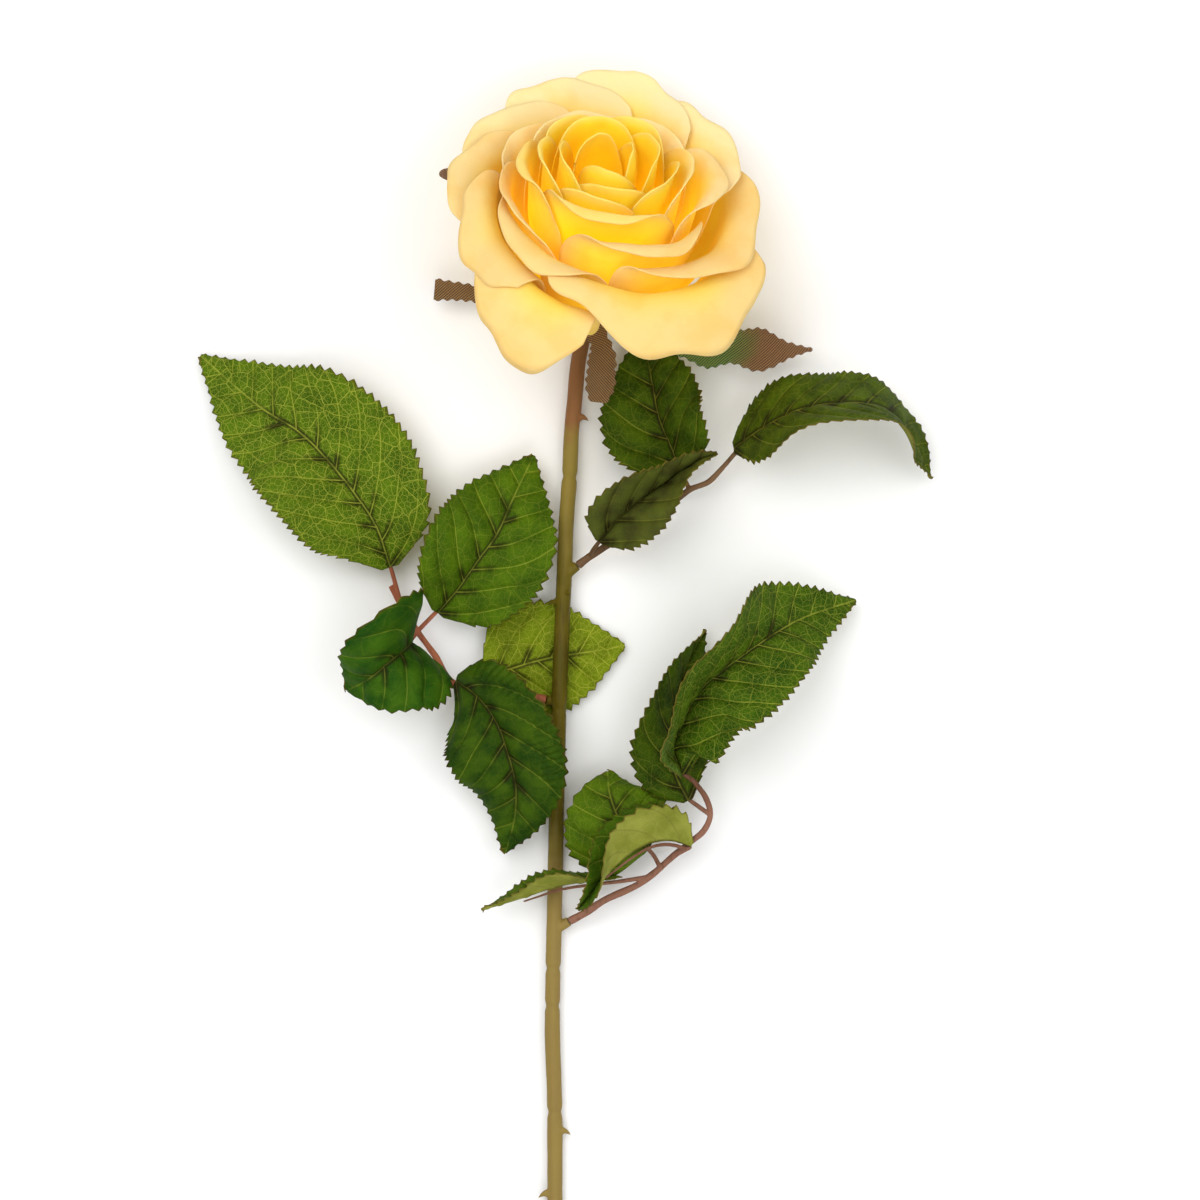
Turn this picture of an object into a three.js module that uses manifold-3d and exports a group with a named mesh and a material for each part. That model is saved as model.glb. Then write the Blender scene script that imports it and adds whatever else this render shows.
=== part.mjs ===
// A fabric rose on a moulded stem, laid down on a flat surface.
// Units are millimetres. +Z is up, +Y runs along the stem towards the flower, and it rests on z = 0.
// The drawing frame has its origin at the stem's cut end. The exported group is moved so that the part's own
// origin is the middle of the bottom of its bounding box.
import * as THREE from 'three';
import Module from 'manifold-3d';
import { mergeVertices } from 'three/addons/utils/BufferGeometryUtils.js';

const wasm = await Module();
wasm.setup();

// ---------------------------------------------------------------- driving dimensions
const CLEARANCE = 0.3;          // gap kept between pieces that touch
const STEM_RADIUS = 2.45;
const BARE_STEM_LENGTH = 224;   // from the cut end to the lowest leaf stalk
const NOTCH_DEPTH = 0.45;       // ring grooves of the moulded stem
const SOCKET_RADIUS = 1.8;      // moulded socket on the stem that a spray is pushed into
const STALK_RADIUS = 1.25;      // main stalk of a leaf spray
const RIB_RADIUS = 0.62;        // moulded rib under a leaflet
const LEAF_THICKNESS = 0.6;
const SEPAL_THICKNESS = 0.5;
const PETAL_THICKNESS = 0.55;
const HEAD_SCALE = 1;           // overall size of the flower head
const DRAWN_PITCH = 0.85;       // the petal thickness and gap together that the bowls below are drawn for
// Thicker petals pack out to a larger head.
const HEAD_SIZE = (HEAD_SCALE * (PETAL_THICKNESS + CLEARANCE)) / DRAWN_PITCH;
const HEAD_TILT = 48;           // degrees between the flower's axis and +Z
const HEAD_LEAN = 9;            // degrees that the axis turns from +Y towards +X
// Where the petals meet the calyx. A larger head keeps its front edge and its lowest petal where they are.
const HEAD_BASE = new THREE.Vector3(9, 399.5 + 23.5 * HEAD_SIZE, 17.5 * HEAD_SIZE);
const CALYX_LENGTH = 13;        // from the petals' base down to the stem
const CALYX_RADIUS = 6.8;

const rad = THREE.MathUtils.degToRad;
const vec = (x, y, z) => new THREE.Vector3(x, y, z);

// ---------------------------------------------------------------- small geometry tools

// A smooth value through evenly spaced numbers, for x from 0 to 1.
function through(values, x) {
  const last = values.length - 1;
  const at = THREE.MathUtils.clamp(x, 0, 1) * last;
  const i = Math.min(Math.floor(at), last - 1);
  const t = at - i;
  const b = values[i];
  const c = values[i + 1];
  const a = i > 0 ? values[i - 1] : 2 * b - c;
  const d = i < last - 1 ? values[i + 2] : 2 * c - b;
  return b + 0.5 * t * (c - a + t * (2 * a - 5 * b + 4 * c - d + t * (3 * (b - c) + d - a)));
}

const smooth = (x) => x * x * (3 - 2 * x);

// A closed thin solid on both sides of surface(u, v), with u from -1 to 1 and v from 0 to 1.
function sheetGeometry(surface, across, along, thickness) {
  const middle = [];
  const normals = [];
  const step = 0.004;
  for (let j = 0; j <= along; j++) {
    for (let i = 0; i <= across; i++) {
      const u = (2 * i) / across - 1;
      const v = j / along;
      const du = surface(u + step, v).sub(surface(u - step, v));
      const dv = surface(u, Math.min(v + step, 1)).sub(surface(u, Math.max(v - step, 0)));
      middle.push(surface(u, v));
      normals.push(du.cross(dv).normalize());
    }
  }
  const count = middle.length;
  const positions = [];
  for (const side of [0.5, -0.5]) {
    middle.forEach((p, k) => {
      const moved = p.clone().addScaledVector(normals[k], side * thickness);
      positions.push(...moved.toArray());
    });
  }
  const index = [];
  const row = across + 1;
  for (let j = 0; j < along; j++) {
    for (let i = 0; i < across; i++) {
      const a = j * row + i;
      const [b, c, d] = [a + 1, a + 1 + row, a + row];
      index.push(a, b, c, a, c, d);
      index.push(count + a, count + c, count + b, count + a, count + d, count + c);
    }
  }
  const rim = [];
  for (let i = 0; i < across; i++) rim.push(i);
  for (let j = 0; j < along; j++) rim.push(j * row + across);
  for (let i = across; i > 0; i--) rim.push(along * row + i);
  for (let j = along; j > 0; j--) rim.push(j * row);
  rim.forEach((a, k) => {
    const b = rim[(k + 1) % rim.length];
    index.push(a, count + b, b, a, count + a, count + b);
  });
  const geometry = new THREE.BufferGeometry();
  geometry.setAttribute('position', new THREE.Float32BufferAttribute(positions, 3));
  geometry.setIndex(index);
  geometry.computeVertexNormals();
  return geometry;
}

// A closed tube along a curve, with its radius given by radiusAt(t).
function tubeGeometry(curve, radiusAt, steps, sides) {
  const frames = curve.computeFrenetFrames(steps, false);
  const positions = [];
  for (let j = 0; j <= steps; j++) {
    const centre = curve.getPointAt(j / steps);
    for (let i = 0; i < sides; i++) {
      const angle = (2 * Math.PI * i) / sides;
      const p = centre.clone();
      p.addScaledVector(frames.normals[j], radiusAt(j / steps) * Math.cos(angle));
      p.addScaledVector(frames.binormals[j], radiusAt(j / steps) * Math.sin(angle));
      positions.push(...p.toArray());
    }
  }
  positions.push(...curve.getPointAt(0).toArray(), ...curve.getPointAt(1).toArray());
  const first = (steps + 1) * sides;
  const index = [];
  for (let i = 0; i < sides; i++) {
    const k = (i + 1) % sides;
    for (let j = 0; j < steps; j++) {
      const [a, b] = [j * sides + i, j * sides + k];
      index.push(a, b, b + sides, a, b + sides, a + sides);
    }
    index.push(first, k, i);
    index.push(first + 1, steps * sides + i, steps * sides + k);
  }
  const geometry = new THREE.BufferGeometry();
  geometry.setAttribute('position', new THREE.Float32BufferAttribute(positions, 3));
  geometry.setIndex(index);
  return geometry;
}

function toSolid(geometry) {
  const bare = geometry.clone();
  bare.deleteAttribute('normal');
  bare.deleteAttribute('uv');
  const merged = mergeVertices(bare, 1e-4);
  const solid = new wasm.Manifold(new wasm.Mesh({
    numProp: 3,
    vertProperties: merged.attributes.position.array,
    triVerts: new Uint32Array(merged.index.array),
  }));
  return solid;
}

// One body made of several closed ones that run into each other.
function joined(geometries) {
  const solid = geometries.map(toSolid).reduce((a, b) => a.add(b));
  const mesh = solid.getMesh();
  const geometry = new THREE.BufferGeometry();
  geometry.setAttribute('position', new THREE.BufferAttribute(new Float32Array(mesh.vertProperties), 3));
  geometry.setIndex(new THREE.BufferAttribute(new Uint32Array(mesh.triVerts), 1));
  geometry.computeVertexNormals();
  return geometry;
}

const curveOf = (points) => new THREE.CatmullRomCurve3(points.map((p) => vec(...p)), false, 'centripetal');

// ---------------------------------------------------------------- the flower's own frame

const tilt = rad(HEAD_TILT);
const lean = rad(HEAD_LEAN);
const AXIS = vec(Math.sin(tilt) * Math.sin(lean), Math.sin(tilt) * Math.cos(lean), Math.cos(tilt));
const BACK = vec(Math.cos(tilt) * Math.sin(lean), Math.cos(tilt) * Math.cos(lean), -Math.sin(tilt));
const SIDE = BACK.clone().cross(AXIS);

// A point given across, towards the back and along the flower's axis, in the drawing frame.
function inHead(x, y, h) {
  return HEAD_BASE.clone()
    .addScaledVector(SIDE, x * HEAD_SIZE)
    .addScaledVector(BACK, y * HEAD_SIZE)
    .addScaledVector(AXIS, h * HEAD_SIZE);
}

// ---------------------------------------------------------------- petals
// Every petal lies on one of a family of nested bowls. A bowl is given by its radius and height at even steps
// from its base to beyond its rolled rim, from the tight bud at shell 0 to the widest bowl at shell 1.
const BOWLS = [
  { r: [1.5, 4.5, 6.5, 7.5, 7.5, 6.5, 4.5, 2], h: [14, 22, 30, 38, 45, 52, 58, 62] },
  { r: [3.5, 10, 14.5, 16.5, 17, 17.2, 18, 20.5], h: [11, 18, 27, 36.5, 45, 52.5, 57.5, 59] },
  { r: [5.5, 14, 20, 23, 24, 24.8, 27, 31.5], h: [8, 13, 21.5, 31, 40.5, 48.5, 53, 51] },
  { r: [7.5, 17.5, 25, 29.5, 31.5, 33, 37.5, 43.5], h: [5, 8.5, 16, 25, 34, 41.5, 45, 43.5] },
  { r: [9.5, 21, 30, 36, 39, 42.5, 51.5, 63.5], h: [2, 3.5, 9.5, 18, 27, 34.5, 36, 30.5] },
];
const LAYER_TURN = 72;      // degrees over which a petal moves out by one layer of its ring
const OUTER_LEAN = 26;      // degrees that the widest bowl leans forward over the axis
const LEAN_HEIGHT = 26;     // where on the axis that lean pivots
const LEAN_FROM = 20;       // radius inside which nothing leans
const LEAN_RADIUS = 62;     // radius that leans by the whole of OUTER_LEAN
const CLAW = [0.42, 0.78, 0.96, 1.0, 0.95, 0.8]; // a petal's width from its base to its rim

// shell is where a ring lies in the family of bowls and layer how far apart its overlapping petals are.
// Each petal is [azimuth, half angle, share of the bowl's length that it reaches, ruffle of its rim, shells
// that it stands outward of its ring].
const RINGS = [
  {
    shell: 0.05, layer: 0.03, round: 0.24,
    petals: [[262, 95, 0.8, 0, 0], [128, 75, 0.9, 0, 0], [15, 80, 0.87, 0, 0]],
  },
  {
    shell: 0.2, layer: 0.05, round: 0.22,
    petals: [[278, 72, 0.76, 0, 0], [200, 60, 0.87, 0, 0], [112, 66, 0.9, 0, 0], [22, 66, 0.87, 0, 0]],
  },
  {
    shell: 0.34, layer: 0.055, round: 0.25,
    petals: [
      [262, 56, 0.79, 0, 0], [195, 52, 0.9, 0, 0], [135, 50, 0.86, 0, 0], [68, 52, 0.86, 0, 0],
      [345, 56, 0.85, 0, 0],
    ],
  },
  {
    shell: 0.48, layer: 0.06, round: 0.3,
    petals: [
      [272, 68, 0.95, 0, 0], [196, 50, 0.93, 0, 0], [140, 46, 0.84, 0, 0], [78, 48, 0.82, 0, 0],
      [10, 52, 0.88, 0, 0],
    ],
  },
  {
    shell: 0.67, layer: 0.1, round: 0.24,
    petals: [
      [303, 56, 0.93, 0, 0], [236, 47, 0.93, 0, 0.09], [206, 50, 0.86, 0, 0], [152, 38, 0.85, 0.01, 0],
      [112, 42, 0.83, 0.01, 0], [66, 44, 0.84, 0, 0], [12, 46, 0.97, 0.01, 0],
    ],
  },
  {
    shell: 0.89, layer: 0.16, round: 0.12,
    petals: [
      [302, 60, 0.98, -0.02, 0.03], [246, 32, 0.97, 0, 0.06], [212, 38, 0.97, 0.01, -0.06],
      [172, 36, 0.9, 0.01, 0], [141, 34, 0.92, 0, 0], [112, 34, 0.96, 0.01, 0], [83, 34, 1, 0.01, 0],
      [46, 38, 0.95, 0.01, 0], [353, 56, 0.9, 0.01, 0],
    ],
  },
];

function bowlPoint(shell, v) {
  return {
    r: through(BOWLS.map((bowl) => through(bowl.r, v)), shell),
    h: through(BOWLS.map((bowl) => through(bowl.h, v)), shell),
  };
}

function petalSurface({ shell: ringShell, layer, round }, [azimuth, halfAngle, reach, ruffle, outward]) {
  return (u, w) => {
    const rim = 1 - round * Math.abs(u) ** 2.4 + ruffle * Math.cos(3 * Math.PI * u);
    const v = w * reach * (1 + (rim - 1) * w);
    const turn = u * halfAngle * through(CLAW, w);
    const shell = ringShell + outward + (layer * turn) / LAYER_TURN;
    const { r, h } = bowlPoint(shell, v);
    const phi = rad(azimuth + turn);
    const forward = rad(OUTER_LEAN) * Math.max((r - LEAN_FROM) / (LEAN_RADIUS - LEAN_FROM), 0) ** 1.7;
    const y = r * Math.sin(phi);
    const up = h - LEAN_HEIGHT;
    return inHead(
      r * Math.cos(phi),
      y * Math.cos(forward) - up * Math.sin(forward),
      LEAN_HEIGHT + y * Math.sin(forward) + up * Math.cos(forward),
    );
  };
}

// ---------------------------------------------------------------- leaflets and sepals

// A leaflet's surface. Its midrib goes through points. left and right are the angles in degrees that the two
// halves make with the level, from stalk to tip, as seen when looking along the leaflet; beyond 90 a half is
// folded over and shows its underside. curl bends both halves on towards their edges, and sweep carries the
// lobes beside the stalk back past it, as a share of their width.
function leafFrame(curve, t) {
  const along = curve.getTangentAt(t);
  const side = along.clone().cross(vec(0, 0, 1)).normalize();
  return { centre: curve.getPointAt(t), side, face: side.clone().cross(along).normalize(), along };
}

function leafSurface({ midrib, width, left, right, curl, outline, sweep = 0 }) {
  const curve = curveOf(midrib);
  return (u, v) => {
    const t = THREE.MathUtils.clamp(v, 0, 1);
    const { centre, side, face, along } = leafFrame(curve, t);
    const reach = width * through(outline, t) * Math.abs(u);
    const bend = rad(through(u < 0 ? left : right, t) + 0.5 * curl * Math.abs(u));
    return centre
      .addScaledVector(along, -sweep * reach * (1 - t) ** 2)
      .addScaledVector(side, Math.sign(u) * reach * Math.cos(bend))
      .addScaledVector(face, reach * Math.sin(bend));
  };
}

const LEAF_OUTLINE = [0.12, 0.72, 0.93, 1, 0.96, 0.83, 0.61, 0.33, 0.03];

const LEAVES = {
  left_leaf_1: {
    midrib: [
      [-54, 338, 9], [-58.5, 351, 12], [-65, 361, 13.5], [-73, 371, 14], [-82.5, 380.5, 12.5],
      [-95, 388.5, 8.5], [-115, 405.5, 3],
    ],
    width: 25, left: [15, 25, 25, 10, 0], right: [25, 15, 5, 0, -5], curl: -12,
  },
  left_leaf_2: {
    midrib: [
      [-39, 323.5, 9.5], [-33, 330.5, 12], [-26.5, 339.5, 14.5], [-20, 348.5, 15], [-15.5, 358.5, 13],
      [-8.5, 373.5, 8],
    ],
    width: 21.5, left: [45, 50, 30, 10, 0], right: [10, 10, 8, 5, 0], curl: -16,
  },
  left_leaf_3: {
    midrib: [[-47, 314, 11], [-49.5, 311.5, 22], [-53.5, 308, 29], [-59.5, 303, 29], [-67, 299, 22]],
    width: 21, left: [10, 10, 0, -5, -5], right: [60, 68, 60, 40, 10], curl: -20, sweep: 0.4,
  },
  left_leaf_4: {
    midrib: [
      [-33, 302, 10], [-26, 297, 14], [-20, 289, 17], [-16.5, 279.5, 18], [-14, 269, 16], [-14.5, 258, 12],
      [-17.5, 247, 8],
    ],
    width: 19.5, left: [60, 62, 45, 30, 0], right: [0, 15, 15, 10, 0], curl: -50,
  },
  left_leaf_5: {
    midrib: [[-24.5, 302.5, 3.5], [-14.5, 306, 2.4], [-3.5, 309, 2.2], [9.5, 311, 2.2], [20.5, 313, 3]],
    width: 19, left: [0, 0, 0, 0, 0], right: [0, 0, 0, 0, 0], curl: 0,
  },
  upper_leaf_1: {
    midrib: [
      [55, 375.5, 14], [64.5, 382, 23], [75, 387, 29], [87.5, 389, 31], [100.5, 388, 27], [110, 380.5, 17],
      [118, 366.5, 4],
    ],
    width: 18, left: [-35, -50, -55, -60, -50], right: [45, 60, 72, 72, 60], curl: 0,
  },
  upper_leaf_2: {
    midrib: [
      [12.5, 346, 14], [18.5, 353.5, 17], [25, 359, 18], [33, 364.5, 18], [41, 370, 18], [49.5, 374, 17],
    ],
    width: 16, left: [50, 65, 70, 75, 75], right: [45, 45, 60, 75, 80], curl: -20,
  },
  upper_leaf_3: {
    midrib: [
      [39, 366, 12], [35, 376.5, 10.5], [31.5, 385, 9.5], [29.5, 395, 8.5], [28, 403.5, 7], [26, 413.5, 5],
    ],
    width: 19, left: [20, 15, 5, 0, 0], right: [40, 50, 45, 40, 20], curl: -14,
  },
  lower_leaf_1: {
    midrib: [
      [38.5, 272.5, 20], [35.5, 281, 23], [38, 288.5, 26], [44, 299.5, 28], [51.5, 306, 28],
      [63.5, 314.5, 24], [76, 321.5, 16], [94, 327.5, 6],
    ],
    width: 21.5, left: [80, 84, 65, 10, -5], right: [30, 40, 25, 25, 10], curl: -14,
  },
  lower_leaf_2: {
    midrib: [[40.5, 264, 15], [36, 273.5, 15], [35, 285, 14], [36.5, 296, 12], [40.5, 308, 9], [46, 318, 5]],
    width: 14, left: [10, 25, 60, 75, 70], right: [0, -10, -15, -15, 0], curl: -20,
  },
  lower_leaf_3: {
    midrib: [[28, 248.5, 10], [22.5, 252.5, 14], [18, 259.5, 16.5], [15.5, 267, 14], [15, 273, 8]],
    width: 19.5, left: [0, 0, 0, 0, 0], right: [0, 0, 0, 0, 0], curl: -24,
  },
  lower_leaf_4: {
    midrib: [
      [41.5, 249.5, 13], [35, 251.5, 17], [28.5, 251, 21], [22, 247.5, 23], [15, 241.5, 24],
      [10, 235.5, 23], [5.5, 230, 19],
    ],
    width: 13, left: [165, 160, 140, 80, 60], right: [-15, -15, 0, 50, 60], curl: 0,
  },
  lower_leaf_5: {
    midrib: [[19.5, 239.5, 10], [9.5, 238.5, 13], [-0.5, 237, 14], [-11, 233.5, 13], [-25, 229, 9]],
    width: 8.5, left: [95, 100, 118, 118, 118], right: [-80, -70, -50, -50, -50], curl: 0,
  },
};
for (const leaf of Object.values(LEAVES)) leaf.outline = LEAF_OUTLINE;

const CALYX_RIM = 7.9;

// Where a sepal leaves the calyx, for an azimuth in degrees round the flower's axis.
const sepalRoot = (azimuth) => inHead(
  (CALYX_RIM + 1.1) * Math.cos(rad(azimuth)),
  (CALYX_RIM + 1.1) * Math.sin(rad(azimuth)),
  -1,
).toArray();

// A sepal's midrib from where it leaves the calyx, with its other points given from HEAD_BASE.
const sepalMidrib = (azimuth, points) => [
  sepalRoot(azimuth),
  ...points.map((p) => HEAD_BASE.clone().addScaledVector(vec(...p), HEAD_SIZE).toArray()),
];
const SEPALS = {
  sepal_1: {
    midrib: sepalMidrib(335, [[23, -12.4, -3.2], [41, -14.5, -1.5], [57, -16.5, -3.5], [71, -16, -6.5]]),
    width: 8 * HEAD_SIZE, outline: [0.8, 0.75, 0.5, 0.62, 1, 0.7, 0.86, 0.35, 0.04],
  },
  sepal_2: {
    midrib: sepalMidrib(275, [[4, -16, 4.5], [4, -24, 2.5], [3, -33, -1.5]]),
    width: 5 * HEAD_SIZE, outline: [0.8, 0.75, 0.6, 0.7, 0.9, 0.9, 0.95, 0.85, 0.5],
  },
  sepal_3: {
    midrib: sepalMidrib(205, [[-25, 0, -8.5], [-41, 2.5, -8.5], [-49, 3.2, -8]]),
    width: 4.2 * HEAD_SIZE, outline: [0.8, 0.75, 0.5, 0.42, 0.7, 0.6, 0.62, 0.7, 0.85],
  },
};
// These two lie flat against the back of the head: azimuth, half angle and reach along the widest bowl.
const BACK_SEPALS = { sepal_4: [174, 7, 0.86, 0, 0], sepal_5: [60, 9, 0.72, 0, 0] };
const BACK_SEPAL_SHELL = 1;

// ---------------------------------------------------------------- stem, stalks and calyx

// Heights and distances along the stem are given from the lowest leaf stalk, at y = LEAFY_FROM, and the bare
// part below it has its points and fittings moved apart with BARE_STEM_LENGTH.
const LEAFY_FROM = 224;
const bareShift = (y) => LEAFY_FROM - (LEAFY_FROM - y) * (y < LEAFY_FROM ? BARE_STEM_LENGTH / LEAFY_FROM : 1);
const STEM_PATH = [
  [-1, 0, 2.5], [-1.6, 90, 2.5], [-1.8, 136, 2.6], [-1.9, 167, 2.6], [-2.6, 189, 2.8], [-2.4, 209, 3.2],
  [-2.1, 221, 3.4], [-1.6, 244, 4], [-0.6, 289, 6], [0.3, 314, 6.4], [1.1, 333, 6], [1.9, 353, 5.2],
  [2.9, 367, 4.6], [3.5, 381, 4.2], [4.5, 391, 4.2], [5.6, 403, 5],
].map(([x, y, z]) => [x, bareShift(y), z]);
const NOTCHES = [164, 210, 198, 293, 367]; // where each ring groove lies along the stem
const THORNS = [
  { at: 386, turn: 0, size: 2.6 }, { at: 327, turn: 180, size: 2.4 }, { at: 330, turn: 60, size: 2 },
  { at: 158, turn: 10, size: 2.6 }, { at: 138, turn: 170, size: 2.8 }, { at: 70, turn: 90, size: 2.6 },
  { at: 103, turn: 30, size: 2.4 }, { at: 40, turn: 150, size: 2.6 },
];

function stemGeometry() {
  const top = inHead(0, 0, -CALYX_LENGTH).addScaledVector(AXIS, -CLEARANCE);
  const below = top.clone().addScaledVector(AXIS, -4);
  const path = curveOf([...STEM_PATH, below.toArray(), top.toArray()]);
  const length = path.getLength();
  const distance = (at) => bareShift(at) - bareShift(0);
  const radiusAt = (t) => {
    const along = t * length;
    const notch = NOTCHES.reduce((sum, at) => sum + Math.exp(-(((along - distance(at)) / 1.6) ** 2)), 0);
    return STEM_RADIUS - NOTCH_DEPTH * Math.min(notch, 1);
  };
  const thorns = THORNS.map(({ at, turn, size }) => {
    const cone = new THREE.ConeGeometry(size * 0.45, size * 1.5, 6);
    cone.rotateZ(-Math.PI / 2 - 0.35);
    cone.translate(STEM_RADIUS + size * 0.35, 0, 0);
    cone.rotateY(-rad(turn));
    const p = path.getPointAt(distance(at) / length);
    return cone.translate(p.x, p.y, p.z);
  });
  const sockets = Object.values(SPRAYS).map(({ stalk }) => {
    const end = vec(...stalk[0]);
    const out = vec(...stalk[1]).sub(end).normalize();
    end.addScaledVector(out, -CLEARANCE);
    const inside = end.clone().addScaledVector(out, -STEM_RADIUS - 1.2);
    return tubeGeometry(new THREE.LineCurve3(inside, end), (t) => SOCKET_RADIUS * (1 - 0.15 * t), 1, 8);
  });
  return joined([tubeGeometry(path, radiusAt, 56, 10), ...sockets, ...thorns]);
}

// A leaflet's rib runs under its midrib, on the outer side of the fold, for most of its length.
function ribPath({ midrib, left, right }, from) {
  const curve = curveOf(midrib);
  const drop = LEAF_THICKNESS / 2 + CLEARANCE + RIB_RADIUS * 1.1;
  const points = [0.03, 0.12, 0.24, 0.36, 0.48, 0.6, 0.7].map((t) => {
    const { centre, side, face } = leafFrame(curve, t);
    const under = rad((through(right, t) - through(left, t)) / 2 - 90);
    return centre.addScaledVector(side, drop * Math.cos(under)).addScaledVector(face, drop * Math.sin(under));
  });
  return new THREE.CatmullRomCurve3([...from.map((p) => vec(...p)), ...points], false, 'centripetal');
}

// Each spray: the main stalk's points, and for each leaflet the points of its own stalk.
const SPRAYS = {
  left_stalk: {
    stalk: [
      [-4.8, 295.8, 5.4], [-13, 297.5, 7], [-24, 300, 8], [-34, 301, 8], [-40, 310, 8], [-45.5, 317.5, 8],
      [-50.5, 325.5, 8], [-54, 332, 8],
    ],
    leaflets: {
      left_leaf_1: [[-50.5, 325.5, 8]], left_leaf_2: [[-45.5, 317.5, 8]], left_leaf_3: [[-45.5, 317.5, 8]],
      left_leaf_4: [[-34, 301, 8]], left_leaf_5: [[-34, 301, 8], [-29, 301.5, 4.5], [-26.5, 302, 2.8]],
    },
  },
  upper_stalk: {
    stalk: [
      [5.6, 338.6, 6.6], [9.5, 341.5, 7.5], [17.5, 346.5, 8.5], [27, 353, 9.5], [36.5, 359, 10.5],
      [41, 362.5, 11.3], [47, 365, 12], [51.5, 369.5, 12.6],
    ],
    leaflets: {
      upper_leaf_1: [[51.5, 369.5, 12.6]],
      upper_leaf_2: [[9.5, 341.5, 7.5], [10.5, 343.5, 11]],
      upper_leaf_3: [[41, 362.5, 11.3]],
    },
  },
  lower_stalk: {
    stalk: [
      [3, 225.2, 4.8], [8, 228, 6], [14, 232, 7], [24.5, 237, 8.5], [30, 241, 9.5], [35.5, 246, 10.5],
      [41, 250.5, 11], [45.5, 254.5, 12.5], [47.5, 259.5, 14], [46, 265, 16], [42.5, 270, 18],
    ],
    leaflets: {
      lower_leaf_1: [[42.5, 270, 18]],
      lower_leaf_2: [[47.5, 259.5, 14], [44, 262, 14.5]],
      lower_leaf_3: [[31.5, 243, 10], [29.5, 246.5, 8.5]],
      lower_leaf_4: [[35.5, 246, 10.5], [41, 249, 11]], lower_leaf_5: [[28, 239.5, 9]],
    },
  },
};

function sprayGeometry({ stalk, leaflets }) {
  const main = tubeGeometry(curveOf(stalk), (t) => STALK_RADIUS * (1 - 0.3 * t), 12, 6);
  const ribs = Object.entries(leaflets).map(([name, from]) => {
    const path = ribPath(LEAVES[name], from);
    return tubeGeometry(path, (t) => RIB_RADIUS * (1.25 - 0.75 * t), 10, 5);
  });
  return joined([main, ...ribs]);
}

function calyxGeometry() {
  const outline = [
    [0, -CALYX_LENGTH], [3.1, -CALYX_LENGTH], [3.6, -11], [5.6, -8], [CALYX_RADIUS, -5], [CALYX_RADIUS, -2.5],
    [7.6, -0.6], [7.9, 0.8], [6.2, 3.6], [4.2, 6.7], [2.2, 9.7], [0.8, 11.8], [0, 12.4],
  ];
  const lathe = new THREE.LatheGeometry(outline.map(([r, h]) => new THREE.Vector2(r, h)), 16);
  const frame = new THREE.Matrix4().makeBasis(SIDE, AXIS, BACK.clone().negate());
  return lathe.scale(HEAD_SIZE, HEAD_SIZE, HEAD_SIZE).applyMatrix4(frame).translate(...HEAD_BASE.toArray());
}

// ---------------------------------------------------------------- materials and assembly

const finish = (color, roughness) => new THREE.MeshStandardMaterial({ color, roughness, metalness: 0 });
const PETAL_COLOURS = [0xffb31a, 0xffbe2e, 0xffca4a, 0xfdd264, 0xfbd987, 0xf8dca0];
const LEAF_GREEN = finish(0x3f7a16, 0.6);
const STALK_BROWN = finish(0x8a5a4c, 0.5);
const STEM_GREEN = finish(0x8c8436, 0.5);
const SEPAL_BROWN = finish(0x5b4423, 0.8);

const rose = new THREE.Group();
function add(name, geometry, material) {
  const mesh = new THREE.Mesh(geometry, material);
  mesh.name = name;
  rose.add(mesh);
}

add('stem', stemGeometry(), STEM_GREEN);
add('calyx', calyxGeometry(), LEAF_GREEN);
RINGS.forEach((layout, ring) => {
  layout.petals.forEach((petal, k) => {
    const across = ring === 0 ? 8 : 7;
    const along = ring < 4 ? 7 : 10;
    const geometry = sheetGeometry(petalSurface(layout, petal), across, along, PETAL_THICKNESS);
    add(`petal_${ring + 1}_${k + 1}`, geometry, finish(PETAL_COLOURS[ring], 0.65));
  });
});
for (const [name, spray] of Object.entries(SPRAYS)) add(name, sprayGeometry(spray), STALK_BROWN);
for (const [name, leaf] of Object.entries(LEAVES)) {
  add(name, sheetGeometry(leafSurface(leaf), 4, 9, LEAF_THICKNESS), LEAF_GREEN);
}
for (const [name, sepal] of Object.entries(SEPALS)) {
  const surface = leafSurface({ ...sepal, left: [0, 0], right: [0, 0], curl: -20 });
  add(name, sheetGeometry(surface, 2, 8, SEPAL_THICKNESS), SEPAL_BROWN);
}
for (const [name, shape] of Object.entries(BACK_SEPALS)) {
  const surface = petalSurface({ shell: BACK_SEPAL_SHELL, layer: 0, round: 0.22 }, shape);
  add(name, sheetGeometry((u, v) => surface(u, 0.12 + 0.88 * v), 2, 8, SEPAL_THICKNESS), SEPAL_BROWN);
}

// The part's origin is the middle of the bottom of its bounding box.
const bounds = new THREE.Box3().setFromObject(rose, true);
const middle = bounds.getCenter(vec(0, 0, 0));
rose.position.set(-middle.x, -middle.y, -bounds.min.z);

export default rose;
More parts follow.
